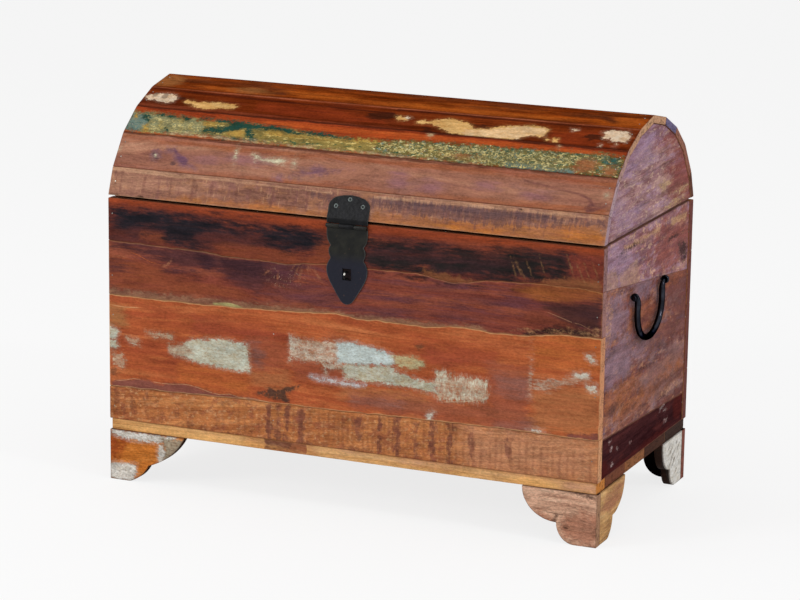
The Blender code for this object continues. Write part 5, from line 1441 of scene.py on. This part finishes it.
def leafPiece(name, leaf, place, seed, facing=1):
    points, faces, margin = plate(leaf, seed)
    knuckle, bore, ease, gap = (hinge[key] for key in ("knuckle", "bore", "ease", "gap"))
    half, cut = leaf["width"] / 2, leaf["knuckleHalf"]
    spans = [(-cut, cut)] if leaf["own"] == "middle" else [(-half, -cut - gap), (cut + gap, half)]
    corner = [(0, bore), (0, knuckle - ease), (ease * 0.3, knuckle - ease * 0.3), (ease, knuckle)]
    shapes = [(points, faces)]
    for low, high in spans:
        profile = [(low + x, r) for x, r in corner] + [(high - x, r) for x, r in corner[::-1]]
        shapes.append(lathe(profile, (0, 0, 0), (1, 0, 0), hinge["sides"]))
    points, faces = joined(shapes)
    margin = np.concatenate([margin, np.full(len(points) - len(margin), 0.004)])
    points = points * (facing, facing, 1) + place
    made = ironObject(f"{name}_iron", points, faces, iron[leaf["look"]], margin, sharp=35)
    bevel = made.modifiers.new("rim", "BEVEL")
    bevel.width, bevel.segments = 0.0003, 2
    bevel.limit_method, bevel.angle_limit = "ANGLE", math.radians(50)
    stand(made, name, leaf["body"])


for seed, (name, leaf) in enumerate(latchLeaves.items(), start=121):
    leafPiece(name, leaf, latchAxis, seed)
for side, place in hingePlaces.items():
    for seed, (name, leaf) in enumerate(hingeLeaves.items(), start=131):
        leafPiece(f"{side}_{name}", leaf, place, seed, facing=-1)


# Screws: a flush head with a bright ring round a dark cross recess, as (height, radius)

screw = {
    "sides": 20, "recess": 1.6, "brightPart": 1.0,
    "head": ((-2.0, 0.0), (-2.0, 1.5), (-1.2, 1.7), (-0.25, 3.4), (0.0, 3.45), (0.05, 3.2), (0.05, 1.75),
             (-0.2, 1.5), (-0.9, 1.2), (-1.0, 0.0)),
}


def screwLook():
    look = Look(bpy.data.materials.new("screw_steel"))
    place = look.node("TexCoord", {}, {}, "Object")
    worn = look.noise(place, (700.0, 700.0), 3.0)
    shade = look.mix(tone(44, 46, 44), tone(96, 104, 102), look.fade(worn, 0.2, 0.75))
    colour = look.mix(tone(12, 12, 13), shade, look.fade(look.value("margin"), -0.0001, 0.00002))
    return look.finish(colour, 0.42 + 0.1 * worn, Metallic=0.3, Specular_IOR_Level=0.3)


screwSteel = screwLook()


def leafScrews(name, leaf, place, spots, facing=1):
    shapes = []
    for across, share in spots:
        spot, inward = onLeaf(leaf, across * leaf["width"] / 2, share * leaf["height"])
        turned = np.array([facing, facing, 1])
        shapes.append(lathe(screw["head"], place + spot * turned * mm, -inward * turned, screw["sides"]))
    points, faces = joined(shapes)
    rings = [height if radius < screw["recess"] else screw["brightPart"] for height, radius in screw["head"]]
    margin = np.tile(np.repeat(rings, screw["sides"]), len(shapes)) * mm
    return ironObject(name, points, faces, screwSteel, margin, sharp=35)


latchPlate = latchLeaves["latch_plate"]
for number, spot in enumerate(latchPlate["screws"], start=1):
    made = leafScrews(f"latch_screw_{number}_head", latchPlate, latchAxis, [spot])
    stand(made, f"latch_screw_{number}", "lid")
for side, place in hingePlaces.items():
    for name, leaf in hingeLeaves.items():
        made = leafScrews(f"{side}_{name}_screws", leaf, place, leaf["screws"], facing=-1)
        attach(made, leaf["body"])


# Staple, handles and eye bolts

staple = {
    "wire": 1.5, "half": 5.0, "reach": 11.0, "deep": 10.0, "sides": 18, "place": (0.0, -0.197137, 0.3653),
    "brightPart": (7.5, 9.5),  # painted glint: the loop's top is painted near-white from here on, out from the wood
}


def buildStaple():
    half = staple["half"]
    angle = np.linspace(-math.pi / 2, math.pi / 2, 19)
    out = staple["reach"] - half
    legs = np.linspace(-staple["deep"], out, 9)[:-1]
    y = np.concatenate([legs, out + half * np.cos(angle), legs[::-1]])
    z = np.concatenate([0 * legs - half, half * np.sin(angle), 0 * legs + half])
    line = np.stack([0 * y, -y, z], -1) * mm + staple["place"]
    ripple = layeredNoise(np.stack([y, z, 0 * y], -1) * 0.35, 151, 2)
    points, faces = rod(line, staple["wire"] * mm * (0.98 - 0.03 * (1 + ripple)), staple["sides"])
    # painted highlight: the top of the loop's outer end takes the staple's near-white rim tone as a glint
    bright = np.interp(y, staple["brightPart"], (0, 1)) * (z > 1)
    margin = np.repeat(0.004 * (1 - bright), staple["sides"])
    made = ironObject("staple_wire", points, faces, iron["staple"], margin)
    stand(made, "staple", "carcass")


buildStaple()

handle = {
    "radius": 5.0, "neck": 2.4, "button": 4.8, "buttonLength": 4.0, "neckHalf": 2.7, "bend": 10.0,
    "leg": 28.0, "drop": 73.0, "spacing": 135.0, "touch": 0.3, "round": 1.3, "sides": 24,
    "place": (0.4057, -0.006637, 0.3485),
}
eye = {"ring": 4.7, "wire": 1.7, "shank": 2.0, "end": 17.7, "ease": 1.2, "around": 36, "sides": 14}


def buildHandle(side, sign):
    # Half a line from the button, through the neck in the eye and a quarter bend, to the leg. Then the bail:
    # across = -leg * cos(turn), drop = leg + (drop - leg) * sin(turn)
    radius, neck, button, bend, leg, touch = (handle[key] for key in (
        "radius", "neck", "button", "bend", "leg", "touch"))
    edge = handle["spacing"] / 2 + handle["neckHalf"]
    bendStart = handle["spacing"] / 2 - handle["neckHalf"]
    legY, tip = bendStart - bend, edge + handle["buttonLength"]
    half = [(tip, 0, 0.4)]
    for turn in np.radians([90, 60, 30, 0]):
        half.append((tip - handle["round"] * (1 - math.sin(turn)), 0,
                     button - handle["round"] * (1 - math.cos(turn))))
    half += [(edge + touch + 0.8, 0, button), (edge + touch + 0.2, 0, button - 0.5),
             (edge + touch, 0, button - 1.2), (edge, 0, neck)]
    half += [(y, 0, neck) for y in np.linspace(edge, bendStart, 6)[1:]]
    for turn in np.linspace(0, math.pi / 2, 10)[1:]:
        half.append((bendStart - bend * math.sin(turn), -bend * (1 - math.cos(turn)),
                     neck + (radius - neck) * turn / (math.pi / 2)))
    half += [(legY, z, radius) for z in np.linspace(-bend, -leg, 7)[1:-1]]
    bail = [(-legY * math.cos(turn), -leg - (handle["drop"] - leg) * math.sin(turn), radius)
            for turn in np.linspace(0, math.pi, 57)]
    y, z, radii = np.array([(-y, z, r) for y, z, r in half] + bail + half[::-1]).T
    ripple = layeredNoise(np.stack([y, z, 0 * y], -1) * 0.13, 161, 3)
    radii = radii * (0.985 - 0.03 * (1 + ripple) * (radii > 4.2))
    line = np.stack([0 * y, y, z], -1) * mm + np.array(handle["place"]) * (sign, 1, 1)
    points, faces = rod(line, radii * mm, handle["sides"], straight=np.abs(z) < 1e-6)
    made = ironObject(f"{side}_handle_bail", points, faces, iron["gloss"])
    stand(made, f"{side}_handle", f"{side}_handle")


def buildEye(side, sign, end, y):
    ring, wire, shank, ease = (eye[key] for key in ("ring", "wire", "shank", "ease"))
    turn, angle = np.meshgrid(*(np.linspace(0, 2 * math.pi, eye[key], endpoint=False)
                                for key in ("around", "sides")), indexing="ij")
    reach = ring + wire * np.cos(angle)
    torus = np.stack([reach * np.cos(turn), wire * np.sin(angle), reach * np.sin(turn)], -1).reshape(-1, 3)
    profile = ((ring + 0.4, 0.0), (ring + 0.4, ease), (ring + ease, shank), (eye["end"] - 1.0, shank),
               (eye["end"], ease), (eye["end"], 0.0))
    centre = np.array(handle["place"]) * (sign, 1, 1) + (0, y, 0)
    quads = loopFaces(eye["around"], eye["sides"], capped=False, closed=True)
    points, faces = joined([(torus * mm + centre, quads), lathe(profile, centre, (-sign, 0, 0), 16)])
    made = ironObject(f"{side}_{end}_eye", points, faces, iron["gloss"])
    stand(made, f"{side}_{end}_eye_bolt", "carcass")


for side, sign in (("left", -1), ("right", 1)):
    buildHandle(side, sign)
    for end, way in (("front", -1), ("back", 1)):
        buildEye(side, sign, end, way * handle["spacing"] / 2 * mm)
for node in ("latch_pin", "left_hinge_pin", "right_hinge_pin"):
    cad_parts[node].data.materials.clear()
    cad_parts[node].data.materials.append(iron["steel"])


# Nails: small bright heads, two or so near the ends of each board. Places are millimetres on the faces.

nailHead = ((-0.9, 0.0), (-0.9, 0.9), (-0.15, 1.0), (0.08, 0.9), (0.16, 0.5), (0.18, 0.0))
nailFaces = {"front": -197.14, "back": 202.86, "side": 399.0}
frontNails = ((-393, 420), (-394, 324), (-393, 262), (-394, 212), (-392, 118), (392, 421), (392, 344),
              (391, 300), (392, 226), (390, 130), (-120, 262), (-120, 128), (392, 396))
sideNails = ((-181, 423), (-180, 390), (-181, 330), (-181, 260), (-180, 182), (-180, 118), (186, 425),
             (187, 396), (187, 330), (186, 262), (186, 190), (185, 126))


def nails(name, spots, body):
    points, faces = joined([lathe(nailHead, np.array(spot) * mm, out, 12) for spot, out in spots])
    made = ironObject(name, points, faces, iron["steel"])
    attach(made, body)


# The two nails away from the edges are on the front only
carcassNails = [((x, nailFaces["front"], z), (0, -1, 0)) for x, z in frontNails]
carcassNails += [((x, nailFaces["back"], z), (0, 1, 0)) for x, z in frontNails if x != -120]
carcassNails += [((sign * nailFaces["side"], y, z), (sign, 0, 0)) for sign in (-1, 1) for y, z in sideNails]
nails("board_nails", carcassNails, "carcass")
lidNails = []
for node, outward in slatFrames.items():
    across = np.cross(outward, (1.0, 0, 0))
    reach, height = nodePoints(node, (across, outward)).T
    for x in (-0.391, 0.391):
        for share in ((0.3, 0.72) if "rail" not in node else (0.5,)):
            level = reach.min() + share * (reach.max() - reach.min())
            spot = np.array([x, 0, 0]) + level * across + height.max() * outward
            lidNails.append((spot / mm, outward))
nails("slat_nails", lidNails, "lid")
print("iron done")


# Floor, light and camera

room = {"reach": 12.0, "floorTone": (236, 236, 236), "cameraLift": 0.8, "world": 0.62, "target": (0, 0, 0.3)}
lamps = {
    "top_light": {"place": (-0.4, -0.6, 3.2), "size": (2.4, 2.4), "power": 16},
    "front_light": {"place": (-2.6, -3.2, 2.0), "size": (1.4, 1.2), "power": 58},
    "side_light": {"place": (3.4, -1.0, 2.6), "size": (0.5, 0.5), "power": 27},
}
view = {"yaw": 23.489, "pitch": 13.423, "roll": 0.78, "place": (1.8107, -4.167137, 1.3696), "lens": 136.81}
white = (1, 1, 1, 1)


def buildRoom():  # the floor and the world look white to the camera, and light the chest more softly
    size = room["reach"]
    look = Look(bpy.data.materials.new("floor_finish"))
    plain = look.node("BsdfDiffuse", {}, {"Color": tone(*room["floorTone"])})
    glow = look.node("Emission", {}, {"Color": white, "Strength": 1.0})
    shown = look.node("MixShader", {}, {0: look.seen() * room["cameraLift"], 1: plain, 2: glow})
    look.node("OutputMaterial", {}, {"Surface": shown}, None)
    corners = [(-size, -size, 0), (size, -size, 0), (size, size, 0), (-size, size, 0)]
    floor = madeObject("floor", corners, [[0, 1, 2, 3]], look.owner)

    look = Look(bpy.data.worlds.new("studio"))
    bpy.context.scene.world = look.owner
    soft, bright = (look.node("Background", {}, {"Color": white, "Strength": strength})
                    for strength in (room["world"], 1.0))
    shown = look.node("MixShader", {}, {0: look.seen(), 1: soft, 2: bright})
    look.node("OutputWorld", {}, {"Surface": shown}, None)


def lamp(name, wanted):
    data = bpy.data.lights.new(name, "AREA")
    data.shape = "RECTANGLE"
    data.size, data.size_y = wanted["size"]
    data.energy = wanted["power"]
    made = bpy.data.objects.new(name, data)
    bpy.context.collection.objects.link(made)
    made.location = wanted["place"]
    heading = Vector(room["target"]) - Vector(wanted["place"])
    made.rotation_euler = heading.to_track_quat("-Z", "Y").to_euler()


def buildCamera():
    yaw, pitch, roll = (math.radians(view[key]) for key in ("yaw", "pitch", "roll"))
    back = Vector((math.sin(yaw) * math.cos(pitch), -math.cos(yaw) * math.cos(pitch), math.sin(pitch)))
    right = Vector(up).cross(back).normalized()
    upward = back.cross(right)
    turnedRight = math.cos(roll) * right + math.sin(roll) * upward
    turnedUp = -math.sin(roll) * right + math.cos(roll) * upward
    data = bpy.data.cameras.new("camera")
    data.lens, data.sensor_width, data.clip_start, data.clip_end = view["lens"], 36.0, 0.1, 100.0
    made = bpy.data.objects.new("camera", data)
    bpy.context.collection.objects.link(made)
    matrix = Matrix((turnedRight, turnedUp, back)).transposed().to_4x4()
    matrix.translation = view["place"]
    made.matrix_world = matrix
    bpy.context.scene.camera = made


buildRoom()
for name, wanted in lamps.items():
    lamp(name, wanted)
buildCamera()
bpy.context.scene.view_settings.view_transform = "Standard"
